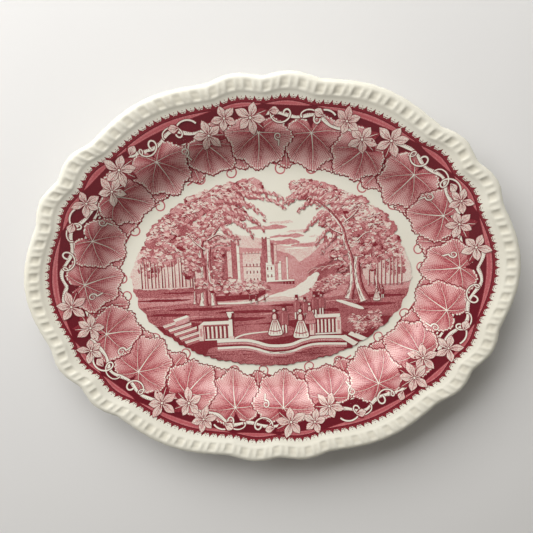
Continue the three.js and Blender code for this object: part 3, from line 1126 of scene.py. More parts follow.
class PLATTER_OT_vine_border(bpy.types.Operator):
    """Vine border: crimson ground, picot edging, leaves, stems, tendrils and flowers"""
    bl_idname = "platter.vine_border"
    bl_label = "Vine border"

    def execute(self, context):
        form = Form(sizes())
        c = colours()
        b = Border(form)
        rows = [20.0, *[22.0 + 2.6 * k for k in range(12)],
                lambda share: 54.0 + 2.4 * math.sin(share * TURN * 18) + 1.2 * math.sin(share * TURN * 46)]
        edge_rows(form, b.ground, rows, GROUND_COLUMNS, GROUND_LIFT)
        self.edging(b)
        for share, inset, long, broad, lean, heart, layer in BACK_LEAVES + VINE_LEAVES:
            b.both(b.leaf, share, inset, long, broad, lean, heart, layer)
        for run in STEMS:
            for half in (0.0, 0.5):
                b.stem([(share + half, inset) for share, inset in run])
        for start, end, inset, loops, size, phase in TENDRILS:
            for half in (0.0, 0.5):
                b.tendril(start + half, end + half, inset, loops, size, phase * TURN)
        for share, inset, size, spin, flip in GROUND_CURLS:
            b.both(b.curl, share, inset, size, spin, flip)
        for share, inset, size, spin, flip in WARE_CURLS:
            b.both(b.curl, share, inset, size, spin, flip, 1.05, False)
        for share, inset, size, spin in BUDS:
            b.both(b.bud, share, inset, size, spin)
        for share, inset, size, spin, dark, count in FLOWERS:
            b.both(b.flower, share, inset, size, spin, dark, count)
        b.ground.lay(ink_finish("crimson_ground", c.crimson, c.ground, 0.8, 1400.0, 0.2, 0.1), form)
        b.panels.lay(ink_finish("edge_pink", c.pink, c.rose, 0.6, 1800.0, 0.2), form)
        b.line.lay(ink_finish("crimson_line", c.rose, c.crimson, 0.9, 1800.0, 0.2), form)
        engraving = leaf_finish("leaf_engraving", c.blush, c.rose, 0.56)
        for ink in b.leaves:
            ink.lay(engraving, form)
        b.pale.lay(ink_finish("bare_ware", c.ivory, c.blush, 0.12, 1400.0), form)
        b.petals.lay(ink_finish("petal_stipple", c.ivory, c.pink, 0.44, 1500.0, 0.2), form)
        b.dark_petals.lay(ink_finish("dark_petal", c.rose, c.crimson, 0.7, 1500.0), form)
        return {"FINISHED"}

    def edging(self, b):
        """Picot spikes, arches and the pink panels behind each lobe of the edge."""
        form = b.form
        edge_rows(form, b.line, (PICOT_INSET - 0.1, PICOT_INSET + 1.3), EDGING_COLUMNS, EDGING_LIFT - 0.001)
        pitch = 1.0 / PICOTS
        flank = [(0.3, 1.6), (-0.8, 1.25), (-1.5, 0.75)]
        spike = [(x, -y) for x, y in flank] + [(-3.4, 0.0)] + flank[::-1]
        for i in range(PICOTS):
            here, turn = b.frame(i * pitch, PICOT_INSET)
            b.line.fill(turned(spike, here, turn), EDGING_LIFT)
            for side in (-1, 1):
                middle, turn = b.frame((i + 0.5 + side * 0.14) * pitch, PICOT_INSET + 0.1)
                arch = [polar(math.pi / 2 + math.pi * k / 6, 1.121) for k in range(7)]
                b.line.ribbon(turned(arch, middle, turn), 0.42, EDGING_LIFT)
            crown, turn = b.frame((i + 0.5) * pitch, PICOT_INSET - 2.1)
            b.line.dot(crown, 0.8, EDGING_LIFT, 5)
        lobe_ends = [-LOBES[0][0], *[end for end, _ in LOBES[:-1]]]
        arcs = []
        for (end, stand), start in zip(LOBES, lobe_ends):
            arcs.append((start, end, stand))
            if start > 0:
                arcs.append((180.0 - end, 180.0 - start, stand))
        for start, end, stand in arcs:
            for half in (0.0, 180.0):
                low, high = (float(form.share(math.radians(a + half))) for a in (start, end))
                if high < low:
                    low -= 1.0
                thick = 0.4 + 0.75 * stand
                n = max(8, round((high - low) * 300))
                steps = [low + (high - low) * (0.03 + 0.94 * k / n) for k in range(n + 1)]
                lens = [abs(math.sin(math.pi * k / n)) ** 0.75 for k in range(n + 1)]
                outside = [form.on_rim(a, 21.0) for a in steps]
                inside = [form.on_rim(a, 21.0 + thick * w) for a, w in zip(steps, lens)]
                b.panels.fill(outside + inside[::-1][1:-1], EDGING_LIFT + 0.009)
                b.line.ribbon(inside, 0.55, EDGING_LIFT + 0.019)
                middle = [p + (q - p) * 0.5 for p, q in zip(outside, inside)][n // 6:-n // 6]
                if len(middle) > 3:
                    b.leaves[0].ribbon(
                        middle, lambda t, w=thick: 0.42 * w * math.sin(math.pi * t), EDGING_LIFT + 0.026)


# ---------------------------------------------------------------- operators: the park view

VIEW_HALF_LENGTH = 118.5
VIEW_HALF_WIDTH = 81.5
RULED_LINES = 1050.0     # lines per metre in the ruled tones
LAYER = 0.001            # step, in mm, from one inked shape to the next one over it
TUFT_LAYER = 0.00004     # the same for tufts of one ink
TUFTS = (  # ink, share of the count, share of the size, shift in mm
    ("rose", 0.5, 1.35, (0.3, -0.6)), ("crimson", 0.35, 1.0, (0.5, -0.8)), ("rose", 0.8, 0.95, (0.2, -0.3)),
    ("pink", 1.1, 0.78, (-0.1, 0.3)), ("blush", 0.8, 0.5, (-0.4, 0.8)), ("crimson", 0.4, 0.2, (0.5, -0.4)),
    ("rose", 0.7, 0.3, (0.2, -0.2)), ("light", 0.25, 0.22, (-0.6, 1.0)))
BARK = (  # ink, shift, share of the width
    ("crimson", 0.0, 1.0), ("rose", 0.06, 0.82), ("pink", 0.12, 0.62), ("light", 0.2, 0.36))
CLOUDS = (  # x, y, length, depth, ink
    (-2, 38, 34, 3.4, "pink"), (14, 30, 30, 3.0, "pink"), (24, 34, 20, 2.2, "blush"),
    (30, 22, 26, 3.2, "pink"), (8, 25, 34, 4.0, "pink"), (40, 29, 16, 2.0, "blush"),
    (22, 17, 30, 3.0, "blush"), (10, 42, 22, 2.0, "blush"))
LAWN_SHADOWS = (  # x, y, length, depth
    (-92, -20, 44, 2.6), (-62, -29, 54, 3.2), (-22, -33, 54, 3.0), (-88, -33, 34, 3.0), (92, -24, 40, 3.0),
    (-40, -39, 66, 4.0), (18, -29, 44, 2.2), (84, -31, 40, 3.4), (-80, -14, 30, 1.6), (60, -35, 40, 4.0))
LAWN_LIGHTS = (  # x, y, length
    (-84, -23.5, 34), (-30, -27.5, 44), (62, -27, 34), (-66, -36, 30), (-96, -28, 24), (4, -36, 30))
LEFT_TREE = (  # foot of each bough, its way in radians, its length
    (-52, 36, 0.75, 30), (-50, 30, 0.4, 26), (-56, 32, 2.2, 26), (-54, 42, 1.2, 22), (-60, 24, 2.6, 22),
    (-52, 24, 0.5, 18))
LEFT_ARCH = (
    (-44, 62, 0.1, 34), (-30, 62, -0.2, 32), (-24, 66, 0.0, 40), (-36, 54, -0.15, 36), (-12, 70, -0.1, 30),
    (-34, 48, -0.35, 26), (-40, 40, -0.5, 20))
RIGHT_ARCH = (
    (52, 62, 3.2, 30), (58, 52, 3.35, 34), (64, 44, 3.5, 34), (34, 68, 3.3, 26), (62, 34, 3.6, 28),
    (66, 56, 2.9, 26), (44, 66, 3.1, 30), (60, 26, 3.8, 20))
BARE_BRANCHES = (
    ((66, 14), (58, 18), (50, 17)), ((72, 24), (80, 30), (88, 30)), ((62, 40), (70, 46), (76, 54)),
    ((60, 30), (52, 34), (46, 40)), ((-55, 22), (-62, 28), (-68, 36)), ((-52, 30), (-44, 34), (-38, 32)))


class View:
    """The inks of the park view in the well; later shapes lie over earlier ones."""

    def __init__(self):
        self.rng = random.Random(7)
        names = ("light", "blush", "pink", "rose", "crimson")
        self.inks = {name: Ink("view_" + name, 0.0) for name in names}
        self.depth = 0.02

    def hem(self, p):
        """Keeps a point inside the uneven oval of the view."""
        p = Vector(p)
        a = math.atan2(p.y / VIEW_HALF_WIDTH, p.x / VIEW_HALF_LENGTH)
        out = math.hypot(p.x / VIEW_HALF_LENGTH, p.y / VIEW_HALF_WIDTH)
        edge = 1.0 + 0.006 * math.sin(a * 37.0) + 0.007 * math.sin(a * 113.0 + 1.0)
        edge += 0.005 * math.sin(a * 11.0)
        return p * (edge / out) if out > edge else p

    def patch(self, ink, points, rough=0.0):
        """A patch of tone with a smooth outline."""
        self.tone(ink, curve(points, 1.6, True), rough)

    def facet(self, ink, points, rough=0.0):
        """A patch of tone with straight edges."""
        path = []
        for a, b in zip(points, points[1:] + points[:1]):
            a, b = Vector(a), Vector(b)
            n = max(1, round((b - a).length / 4.0))
            path += [a + (b - a) * (k / n) for k in range(n)]
        self.tone(ink, path, rough)

    def box(self, ink, x, y, wide, tall):
        """An upright patch with square corners."""
        self.facet(ink, [(x, y), (x + wide, y), (x + wide, y + tall), (x, y + tall)])

    def tone(self, ink, path, rough):
        """Fills an outline, shaken by rough and hemmed to the oval."""
        shake = self.rng.uniform
        if rough:
            path = [p + Vector((shake(-rough, rough), shake(-rough, rough))) for p in path]
        self.depth += LAYER
        self.cover(ink, [self.hem(p) for p in path], 2)

    def cover(self, ink, path, fewest):
        """Fills an outline cleared of doubled points, if more than the fewest are left."""
        clean = [p for p, q in zip(path, path[-1:] + path[:-1]) if (p - q).length > 0.02]
        if len(clean) > fewest:
            self.inks[ink].fill(clean, self.depth)

    def line(self, ink, points, width, end=None):
        """A smooth line of ink that may taper to end."""
        self.depth += LAYER
        path = [self.hem(p) for p in curve(points)]
        self.inks[ink].ribbon(path, width, self.depth, end)

    def clump(self, ink, place, size, turn=0.0, flat=0.75):
        """Scalloped tuft of leaves."""
        if math.hypot(place[0] / VIEW_HALF_LENGTH, place[1] / VIEW_HALF_WIDTH) > 1.0:
            return
        bumps = self.rng.choice((5, 6, 7))
        n = bumps * 3
        spin = self.rng.uniform(0, TURN)
        path = []
        for i in range(n):
            a = TURN * i / n
            reach = size * (0.72 + 0.28 * abs(math.sin(a * bumps / 2 + spin)) ** 0.7)
            path.append((math.cos(a) * reach, math.sin(a) * reach * flat))
        drawn = turned(path, place, turn)
        path = [self.hem(p) for p in drawn]
        trimmed = sum(1 for p, q in zip(drawn, path) if (p - q).length > 0.1)
        self.depth += TUFT_LAYER
        if trimmed < n / 3:
            self.cover(ink, path, 4)

    def foliage(self, places, size, count, spread):
        """Masses of tufts: shade first, then body, then catching light on the upper left."""
        rng = self.rng

        def near(place):
            a, r = rng.uniform(0, TURN), math.sqrt(rng.random())
            return place[0] + math.cos(a) * r * spread[0], place[1] + math.sin(a) * r * spread[1]

        for ink, share, scale, shift in TUFTS:
            self.depth += LAYER
            for place in places:
                for _ in range(max(1, round(count * share))):
                    x, y = near(place)
                    big = size * scale * rng.uniform(0.7, 1.2)
                    self.clump(ink, (x + shift[0], y + shift[1]), big, rng.uniform(-0.5, 0.5),
                               rng.uniform(0.5, 0.75))
        self.depth += LAYER
        for place in places:
            for _ in range(round(count * 1.5)):
                root = Vector(near(place))
                self.frond(root, size * rng.uniform(0.8, 1.7), rng.choice(("crimson", "crimson", "light")))

    def frond(self, root, long, ink):
        """A short hanging stroke of the graver, bowed away from the middle of the view."""
        if math.hypot(root.x / VIEW_HALF_LENGTH, root.y / VIEW_HALF_WIDTH) > 0.97:
            return
        side = -1.0 if root.x < 0 else 1.0
        way = math.pi / 2 + side * self.rng.uniform(0.9, 2.4)
        tip = root + polar(way, long * 0.8) + Vector((0, -long * 0.28))
        path = [root, root + polar(way, long * 0.5), tip]
        self.depth += TUFT_LAYER
        self.inks[ink].ribbon([self.hem(p) for p in curve(path, 1.4)], 0.5, self.depth, 0.12)

    def boughs(self, rows, size, bend):
        """Boughs that bend down, to the right or to the left of the tree."""
        for x, y, way, long in rows:
            self.spray((x, y), way, long, size, -bend if way < math.pi / 2 else bend)

    def spray(self, root, way, long, size, bend):
        """A bough that droops at its end, feathered with tufts."""
        rng = self.rng
        path = [Vector(root)]
        a = way
        for _ in range(6):
            path.append(path[-1] + polar(a, long / 6))
            a += bend / 6
        self.line("crimson", path, 0.9, 0.3)
        for ink, scale, lift in (("rose", 1.0, -0.4), ("pink", 0.8, 0.2), ("blush", 0.5, 0.8)):
            self.depth += LAYER
            for k, p in enumerate(curve(path, size * 0.8)):
                here = p + Vector((rng.uniform(-0.3, 0.3) * size, lift + rng.uniform(-0.5, 0.4) * size))
                fade = 1.0 - 0.45 * k * size * 0.8 / long
                self.clump(ink, here, size * scale * fade, a + rng.uniform(-0.4, 0.4), 0.5)

    def trunk(self, run, width, end):
        """Bark: a trunk that flares at its foot, with a lit side and broken shadow lines."""
        for ink, shift, share in BARK:
            self.depth += LAYER
            path = [self.hem(p) for p in curve([(x - width * shift, y) for x, y in run])]

            def swell(t, share=share):
                return (width + (end - width) * t + width * 0.55 * (1.0 - t) ** 12) * share

            self.inks[ink].ribbon(path, swell, self.depth)
        path = curve(run)
        for k in range(2, len(path) - 3):
            across = width * (1.0 - 0.6 * k / len(path)) * self.rng.uniform(-0.42, 0.38)
            root = path[k] + Vector((across, 0))
            tip = root + (path[min(len(path) - 1, k + 3)] - path[k]) * self.rng.uniform(0.5, 1.2)
            self.depth += TUFT_LAYER
            self.inks["crimson"].ribbon([self.hem(p) for p in (root, tip)], 0.55, self.depth + LAYER, 0.15)


def block(v, x, y, wide, tall, light="light", shade="rose", lit=0.5, crenels=0, skew=0.0):
    """A tower or wall: shaded left face, lit right face, crenels along the top."""
    split = x + wide * (1 - lit)
    v.facet(shade, [(x, y), (split, y - skew), (split, y + tall - skew), (x, y + tall)])
    v.facet(light, [(split, y - skew), (x + wide, y), (x + wide, y + tall), (split, y + tall - skew)])
    if crenels:
        step = wide / (crenels * 2 - 1)
        for k in range(crenels):
            a = x + step * 2 * k
            v.box(shade if a < split else light, a, y + tall - 0.1, step, 1.6)
    v.line("crimson", [(x, y + tall), (x + wide, y + tall)], 0.35)
    v.line("rose", [(x + wide, y), (x + wide, y + tall)], 0.35)
    for k in range(3):
        v.line("pink", [(split + (x + wide - split) * 0.08, y + tall * (0.25 + 0.22 * k)),
                        (x + wide, y + tall * (0.25 + 0.22 * k))], 0.3)


def windows(v, x, y, across, up, gap, rise, wide, tall):
    """Rows of dark windows."""
    for i in range(across):
        for j in range(up):
            v.box("crimson", x + i * gap, y + j * rise, wide, tall)


def lady(v, x, y, tall, gown="light"):
    """A stroller in a bell skirt and bonnet, seen from far off."""
    k = tall / 16.0

    def at(points):
        return [(x + a * k, y + b * k) for a, b in points]

    v.patch("crimson", at([(-4.6, -0.3), (-3.6, 4.5), (-1.4, 9.6), (1.4, 9.6), (3.6, 4.5), (4.6, -0.3),
                           (0, -1.2)]))
    v.patch(gown, at([(-4.1, 0), (-3.1, 4.5), (-1.1, 9.4), (1.1, 9.4), (3.1, 4.5), (4.0, 0), (0, -0.7)]))
    for a in (-2.4, -0.9, 0.8, 2.2):
        v.line("rose", at([(a * 0.35, 8.6), (a * 0.9, 4.5), (a * 1.25, 0.2)]), 0.5 * k, 0.3 * k)
    v.line("rose", at([(-3.4, 2.6), (0, 1.8), (3.4, 2.6)]), 0.7 * k)
    v.patch("crimson", at([(-1.7, 9.2), (-1.8, 12.6), (0, 13.4), (1.8, 12.6), (1.7, 9.2)]))
    v.patch("blush", at([(-1.2, 9.5), (-1.2, 12.2), (0.2, 12.9), (0.7, 12.2), (0.7, 9.5)]))
    v.clump("crimson", (x, y + 14.6 * k), 1.6 * k, 0, 1.0)
    v.clump("light", (x - 0.35 * k, y + 14.7 * k), 0.9 * k, 0, 1.0)


def gentleman(v, x, y, tall, coat="crimson"):
    """A stroller in a long coat, seen from far off."""
    k = tall / 16.0

    def at(points):
        return [(x + a * k, y + b * k) for a, b in points]

    for a in (-0.9, 0.9):
        v.line("light", at([(a, 6.2), (a * 1.1, 0.0)]), 1.25 * k, 0.9 * k)
        v.line("crimson", at([(a + 0.5, 6.0), (a * 1.1 + 0.5, 0.0)]), 0.35 * k)
    v.patch(coat, at([(-2.0, 4.2), (-2.1, 11.8), (0, 12.8), (2.1, 11.8), (2.0, 4.2), (0, 5.4)]))
    v.line("pink", at([(-0.9, 11.6), (-1.1, 5.6)]), 0.7 * k, 0.3 * k)
    v.clump("crimson", (x, y + 14.2 * k), 1.35 * k, 0, 1.1)
    v.clump("blush", (x - 0.2 * k, y + 14.0 * k), 0.85 * k, 0, 1.0)
    v.facet("crimson", at([(-1.1, 15.0), (-1.0, 17.0), (1.0, 17.0), (1.1, 15.0)]))


class PLATTER_OT_park_view(bpy.types.Operator):
    """Park view in the well: sky, castle, trees, lawn, terrace and strollers"""
    bl_idname = "platter.park_view"
    bl_label = "Park view"

    def execute(self, context):
        form = Form(sizes())
        c = colours()
        v = View()
        self.distance(v)
        self.castle(v)
        self.grounds(v)
        self.trees(v)
        self.terrace(v)
        self.strollers(v)
        tones = {
            "light": (c.ivory, c.blush, 0.12, None),
            "blush": (c.ivory, c.pink, 0.42, (RULED_LINES, 0.10)),
            "pink": (c.blush, c.rose, 0.48, (RULED_LINES, 0.10)),
            "rose": (c.pink, c.crimson, 0.52, (RULED_LINES, 0.10)),
            "crimson": (c.rose, c.crimson, 0.85, (RULED_LINES, 0.05))}
        for name, (light, dark, cover, lines) in tones.items():
            finish = ink_finish("view_" + name, light, dark, cover, 2000.0, 0.2, 0.16, lines)
            v.inks[name].lay(finish, form)
        return {"FINISHED"}

    def distance(self, v):
        """Haze, clouds and far hills."""
        v.patch("blush", [(-70, -6), (-72, 26), (-40, 34), (-10, 30), (14, 22), (40, 26), (70, 16),
                          (74, -6)])
        for x, y, wide, tall, ink in CLOUDS:
            v.patch(ink, [(x - wide / 2, y), (x - wide / 4, y + tall * 0.6), (x, y + tall * 0.5),
                          (x + wide / 4, y + tall * 0.8), (x + wide / 2, y), (x + wide / 5, y - tall * 0.4),
                          (x - wide / 5, y - tall * 0.3)], 0.3)
            v.patch("light", [(x - wide / 3, y + tall * 0.9), (x, y + tall * 0.7), (x + wide / 3, y + tall),
                              (x, y + tall * 1.25)], 0.2)
        v.patch("pink", [(16, -8), (22, 6), (34, 14), (44, 24), (52, 27), (60, 22), (74, 18), (80, -8)], 0.4)
        v.facet("rose", [(44, 23), (45, 29), (48, 29), (48, 26), (52, 26), (52, 31), (56, 31),
                         (56, 24)], 0.3)
        v.patch("rose", [(26, -8), (36, 3), (50, 8), (66, 10), (80, 8), (80, -8)], 0.5)
        for k in range(7):
            v.line("blush", [(30 + 6 * k, -2 + k), (36 + 6 * k, 2 + k), (44 + 6 * k, 1 + k)], 0.6, 0.2)

    def castle(self, v):
        """A plain battlemented castle with its wings and a garden wall."""
        v.patch("pink", [(-60, -10), (-58, 14), (-44, 24), (-20, 22), (4, 19), (22, 10), (26, -12)], 0.5)
        block(v, -41, -4, 9, 24, "blush", "rose", 0.5, 3, 0.6)
        block(v, -33, -5, 7, 33, "light", "rose", 0.34, 3, 0.6)
        block(v, -26, -8, 18, 25, "blush", "pink", 0.86, 7, 0.4)
        v.facet("blush", [(-22, -8), (-8, -8), (-8, 13), (-22, 15)])
        windows(v, -21, 0, 5, 2, 2.9, 6.0, 0.9, 2.4)
        windows(v, -21, -6, 5, 1, 2.9, 5.0, 0.9, 2.0)
        v.line("rose", [(-26, 6.2), (-8, 5.6)], 0.6)
        block(v, -9, -9, 12, 22, "light", "rose", 0.62, 4, 0.4)
        windows(v, -3.6, -4, 2, 2, 3.2, 6.4, 1.0, 2.6)
        block(v, -7, 9, 7, 20, "light", "rose", 0.38, 3, 0.4)
        block(v, 0.5, 7, 4.6, 17, "blush", "rose", 0.5, 2, 0.4)
        block(v, 3.4, -9, 5, 17, "light", "pink", 0.55, 2, 0.4)
        block(v, 11.5, -6, 2.6, 19, "light", "pink", 0.5, 0, 0.2)
        v.facet("rose", [(-4, -13), (19, -14), (19, -7.5), (-4, -7.5)])
        v.facet("crimson", [(8, -13.6), (19, -14), (19, -7.5), (8, -7.5)])
        v.facet("light", [(-4, -7.8), (19, -7.8), (19, -6.6), (-4, -6.6)])
        for k in range(4):
            v.line("pink", [(9 + 2.6 * k, -13.4), (9 + 2.6 * k, -8.4)], 0.5)

    def grounds(self, v):
        """Shrubbery, water, lawn and its shadows."""
        v.facet("pink", [(-118, -2), (-60, -3), (-20, -8), (20, -11), (60, -6), (118, -2), (118, -82),
                         (-118, -82)])
        v.patch("light", [(-10, -22), (8, -17), (22, -12), (34, -3), (40, -2), (37, -10), (32, -17),
                          (20, -22)], 0.4)
        v.patch("blush", [(-30, -24), (6, -25), (30, -24), (4, -21)], 0.2)
        v.patch("rose", [(-118, -8), (-90, -10), (-66, -10), (-62, -15), (-90, -18), (-118, -15)], 0.4)
        v.facet("rose", [(-118, -26), (-70, -23), (-34, -26), (-6, -28), (30, -26), (60, -22), (118, -18),
                         (118, -84), (-118, -84)], 0.4)
        for x, y, wide, tall in LAWN_SHADOWS:
            v.patch("crimson", [(x - wide / 2, y), (x - wide / 5, y + tall / 2), (x + wide / 2, y + 0.3),
                                (x + wide / 5, y - tall / 2)], 0.25)
        for x, y, wide in LAWN_LIGHTS:
            v.line("pink", [(x - wide / 2, y), (x, y + 0.7), (x + wide / 2, y)], 1.0, 0.3)
        v.foliage([(-46, -8), (-38, -10), (-29, -11), (-20, -12), (-11, -13)], 3.6, 10, (6.0, 6.0))
        v.foliage([(46, -12), (54, -10), (40, -16), (60, -6)], 3.0, 9, (6.0, 6.0))
        v.boughs(((34, -16, 0.85, 20), (42, -18, 0.85, 20)), 2.6, 0.9)
        v.facet("crimson", [(-48, -23), (-14, -22), (-6, -18), (-6, -14.5), (-14, -18), (-48, -18)], 0.2)
        v.line("light", [(-50, -24.5), (-24, -25), (-12, -23), (-4, -18.5)], 1.5)
        v.line("rose", [(-50, -26), (-24, -26.5), (-12, -24.5), (-3, -20)], 0.7)

    def canopy(self, v, first, last, steps, reach, size, count, spread):
        """Masses of leaves along the edge of the view, from one angle to another."""
        places = []
        for k in range(steps):
            a = math.radians(first + (last - first) * k / (steps - 1))
            places.append((math.cos(a) * reach * VIEW_HALF_LENGTH, math.sin(a) * reach * VIEW_HALF_WIDTH))
        v.rng.shuffle(places)
        v.foliage(places, size, count, spread)

    def trees(self, v):
        """Avenue on the far left, two great trees that frame the view, a grove on the right."""
        rng = v.rng
        v.patch("blush", [(-117, -8), (-114, 14), (-104, 30), (-86, 40), (-70, 30), (-62, 8),
                          (-60, -8)], 0.6)
        self.canopy(v, 172, 150, 5, 0.87, 4.0, 14, (8.0, 9.0))
        v.foliage([(-88, 20), (-78, 30), (-92, 30), (-72, 20), (-100, 14)], 3.8, 12, (8.0, 8.0))
        for k in range(16):
            x = -110 + k * 2.9 + rng.uniform(-0.5, 0.5)
            top = 12 + 4 * math.sin(k * 0.7) + rng.uniform(-1, 3)
            v.line("rose" if k % 3 else "crimson", [(x, -9), (x + 0.3, top * 0.5), (x + 0.1, top)], 1.2, 0.6)
            v.line("light", [(x - 0.9, -8.6), (x - 0.5, top * 0.5), (x - 0.6, top - 1)], 0.5, 0.2)
        self.canopy(v, 152, 98, 9, 0.88, 4.6, 15, (9.0, 7.0))
        self.canopy(v, 148, 112, 5, 0.68, 4.2, 13, (9.0, 7.0))
        v.trunk([(-59, -26), (-57.5, -10), (-57, 8), (-58, 22), (-55, 34), (-50, 44)], 6.4, 2.2)
        v.trunk([(-50, -26), (-50.5, -10), (-52, 8), (-51, 22), (-47, 34), (-38, 46)], 4.6, 1.6)
        v.trunk([(-66, -24), (-65, -6), (-66, 12), (-70, 30)], 2.6, 0.8)
        v.boughs(LEFT_TREE, 3.2, 0.9)
        v.foliage([(-66, 20), (-62, 10), (-44, 16), (-46, 4), (-70, 6), (-60, -8), (-48, -10)],
                  3.0, 9, (4.5, 6.0))
        v.boughs(LEFT_ARCH, 3.4, 0.8)
        v.patch("blush", [(80, -10), (78, 20), (92, 30), (108, 20), (117, 0), (117, -12)], 0.6)
        self.canopy(v, 2, 30, 5, 0.87, 4.0, 14, (8.0, 8.0))
        self.canopy(v, 28, 74, 8, 0.88, 4.6, 15, (9.0, 7.0))
        self.canopy(v, 10, 52, 6, 0.68, 4.2, 13, (9.0, 7.0))
        v.boughs(RIGHT_ARCH, 3.4, 0.8)
        v.trunk([(64, -25), (68, -10), (67, 8), (63, 22), (60, 36), (50, 50), (40, 58)], 5.8, 1.4)
        v.trunk([(78, -28), (73, -12), (72, 6), (76, 20), (70, 34), (62, 46)], 7.4, 2.0)
        v.trunk([(90, -22), (87, -4), (84, 10), (80, 24)], 3.6, 1.2)
        for run in BARE_BRANCHES:
            v.line("crimson", run, 1.7, 0.5)
            v.line("light", [(x, y + 0.4) for x, y in run], 0.8, 0.2)
        for k in range(9):
            x = 82 + k * 3.4 + rng.uniform(-0.6, 0.6)
            v.line("rose", [(x, -15), (x + 0.4, 0), (x, 10)], 1.5, 0.7)
            v.line("light", [(x - 0.9, -14), (x - 0.4, 0), (x - 0.6, 8)], 0.6, 0.2)
        v.foliage([(76, 16), (82, 4), (60, 4), (94, 14), (70, 34), (84, 24), (56, 14)], 3.2, 8, (6.0, 6.0))

    def terrace(self, v):
        """Steps, balustrades, urn and the curved steps of the foreground."""
        v.facet("crimson", [(-108, -44), (-70, -40), (-40, -45), (0, -43), (60, -40), (104, -42), (104, -84),
                            (-104, -84)])
        v.patch("rose", [(-56, -64), (-30, -67), (0, -71.5), (24, -68.5), (50, -67), (58, -66), (50, -84),
                         (-50, -84)], 0.4)
        v.patch("rose", [(-34, -46), (0, -45), (24, -52), (-4, -58), (-30, -56)], 0.3)
        for k in range(5):
            y = -42 - 3.7 * k
            x = -95 + 4.4 * k
            v.facet("light", [(x, y), (x + 20, y + 5.6), (x + 20, y + 3.6), (x + 1, y - 2.0)])
            v.facet("rose", [(x + 1, y - 2.0), (x + 20, y + 3.6), (x + 20, y + 1.6), (x + 2, y - 4.0)])
            v.line("pink", [(x + 1, y - 0.6), (x + 19, y + 4.4)], 0.5)
        self.balustrade(v, -62, -56, 25, 13, 6)
        v.facet("light", [(-86, -37), (-74, -33.5), (-72, -35), (-84, -39)])
        v.facet("pink", [(-84, -39), (-72, -35), (-72, -39), (-84, -43)])
        self.urn(v, -37, -39, 7)
        low = [(-48, -58), (-26, -58), (-16, -60), (-4, -64), (12, -64), (24, -60), (36, -58), (60, -59)]
        treads = ((-3.6, "crimson", 3.4), (-2.6, "pink", 1.8), (0.0, "light", 2.6), (-6.2, "light", 2.0),
                  (-8.2, "pink", 1.6))
        for drop, ink, width in treads:
            v.line(ink, [(x * 1.03, y + drop) for x, y in low], width)
        v.facet("light", [(60, -57), (74, -66), (70, -69), (57, -60)])
        v.facet("light", [(66, -54), (80, -61), (77, -64), (63, -57)])
        v.line("light", [(-34, -56), (-26, -53), (-12, -51.6), (2, -51)], 1.4, 0.8)
        self.balustrade(v, 33, -55, 22, 14, 6)
        v.patch("rose", [(56, -28), (74, -34), (86, -42), (82, -52), (60, -54), (57, -40)], 0.3)
        v.patch("light", [(54, -27), (59, -26.5), (76, -33), (74, -35)], 0.1)
        v.foliage([(78, -46), (87, -41), (74, -52), (88, -48), (70, -44)], 2.8, 9, (6.0, 4.5))
        for k in range(40):
            x = v.rng.uniform(-60, 60)
            y = -74 + v.rng.uniform(-8, 6)
            v.line("crimson", [(x - 7, y), (x + 7, y + 0.2)], 0.6, 0.1)

    def balustrade(self, v, x, y, wide, tall, posts):
        """Stone rail on turned posts between a pier at each end."""
        v.box("crimson", x, y, wide, tall)
        gap = wide / (posts + 1)
        for k in range(posts + 1):
            a = x + gap * (k + 0.5)
            v.line("blush", [(a, y + 0.8), (a + 0.1, y + tall * 0.4), (a, y + tall - 1.5)], gap * 0.5)
            v.line("light", [(a - 0.2, y + 1.0), (a - 0.2, y + tall - 1.8)], gap * 0.24)
        v.facet("light", [(x - 2, y + tall), (x + wide + 1, y + tall), (x + wide + 3, y + tall + 3.0),
                          (x + 2, y + tall + 3.0)])
        v.line("rose", [(x - 1, y + tall - 0.4), (x + wide + 1, y + tall - 0.4)], 0.9)
        v.line("light", [(x - 1, y - 0.2), (x + wide + 1, y - 0.2)], 1.2)
        for a in (x - 2.6, x + wide - 1.6):
            v.box("blush", a, y - 1, 4.8, tall + 1)
            v.box("rose", a + 3.8, y - 1, 1.0, tall + 1)
            v.box("pink", a + 1, y + 3, 1.8, tall - 6)

    def urn(self, v, x, y, tall):
        """Stone vase on a pedestal."""
        k = tall / 7.0
        v.line("crimson", [(x + 0.7, y - 15), (x + 0.7, y)], 4.4 * k)
        v.line("light", [(x, y - 15), (x, y)], 3.0 * k)
        bowl = ((-2.8, 6), (-2.2, 2), (0, 0), (2.4, 2), (3.0, 6))
        lit = ((-2.4, 6), (-1.8, 2.4), (0, 0.8 / k), (0.8, 2.4), (1.2, 6))
        for ink, shape in (("crimson", bowl), ("light", lit)):
            v.patch(ink, [(x + a * k, y + b * k) for a, b in shape])
        v.line("light", [(x - 3 * k, y + 6.2 * k), (x + 3 * k, y + 6.2 * k)], 1.0)

    def strollers(self, v):
        """Small figures, too far off for faces."""
        for x, y, tall in ((-19, -26, 9.0), (-14, -26.3, 8.5), (-7, -25.5, 6.0), (93, -26, 10.0)):
            gentleman(v, x, y, tall, "crimson")
        lady(v, 88, -27.5, 11.5)
        for x, y, tall in ((20, -41, 20), (27, -42, 19), (35, -40, 21), (41, -38, 19)):
            gentleman(v, x, y, tall, "rose")
        lady(v, 31, -45, 18, "pink")
        gentleman(v, 9, -53, 24.0, "rose")
        lady(v, 1, -54, 23.0)
        lady(v, 23, -57, 25.0)


# ---------------------------------------------------------------- operator: the stage

CAMERA_LENS = 40.5
CAMERA_TURNS = (11.18, -0.07, 2.74)          # degrees of tip, lean and roll
CAMERA_PLACE = (-0.0042, 0.0095, 0.4826)     # metres from the rim, along the turned axes


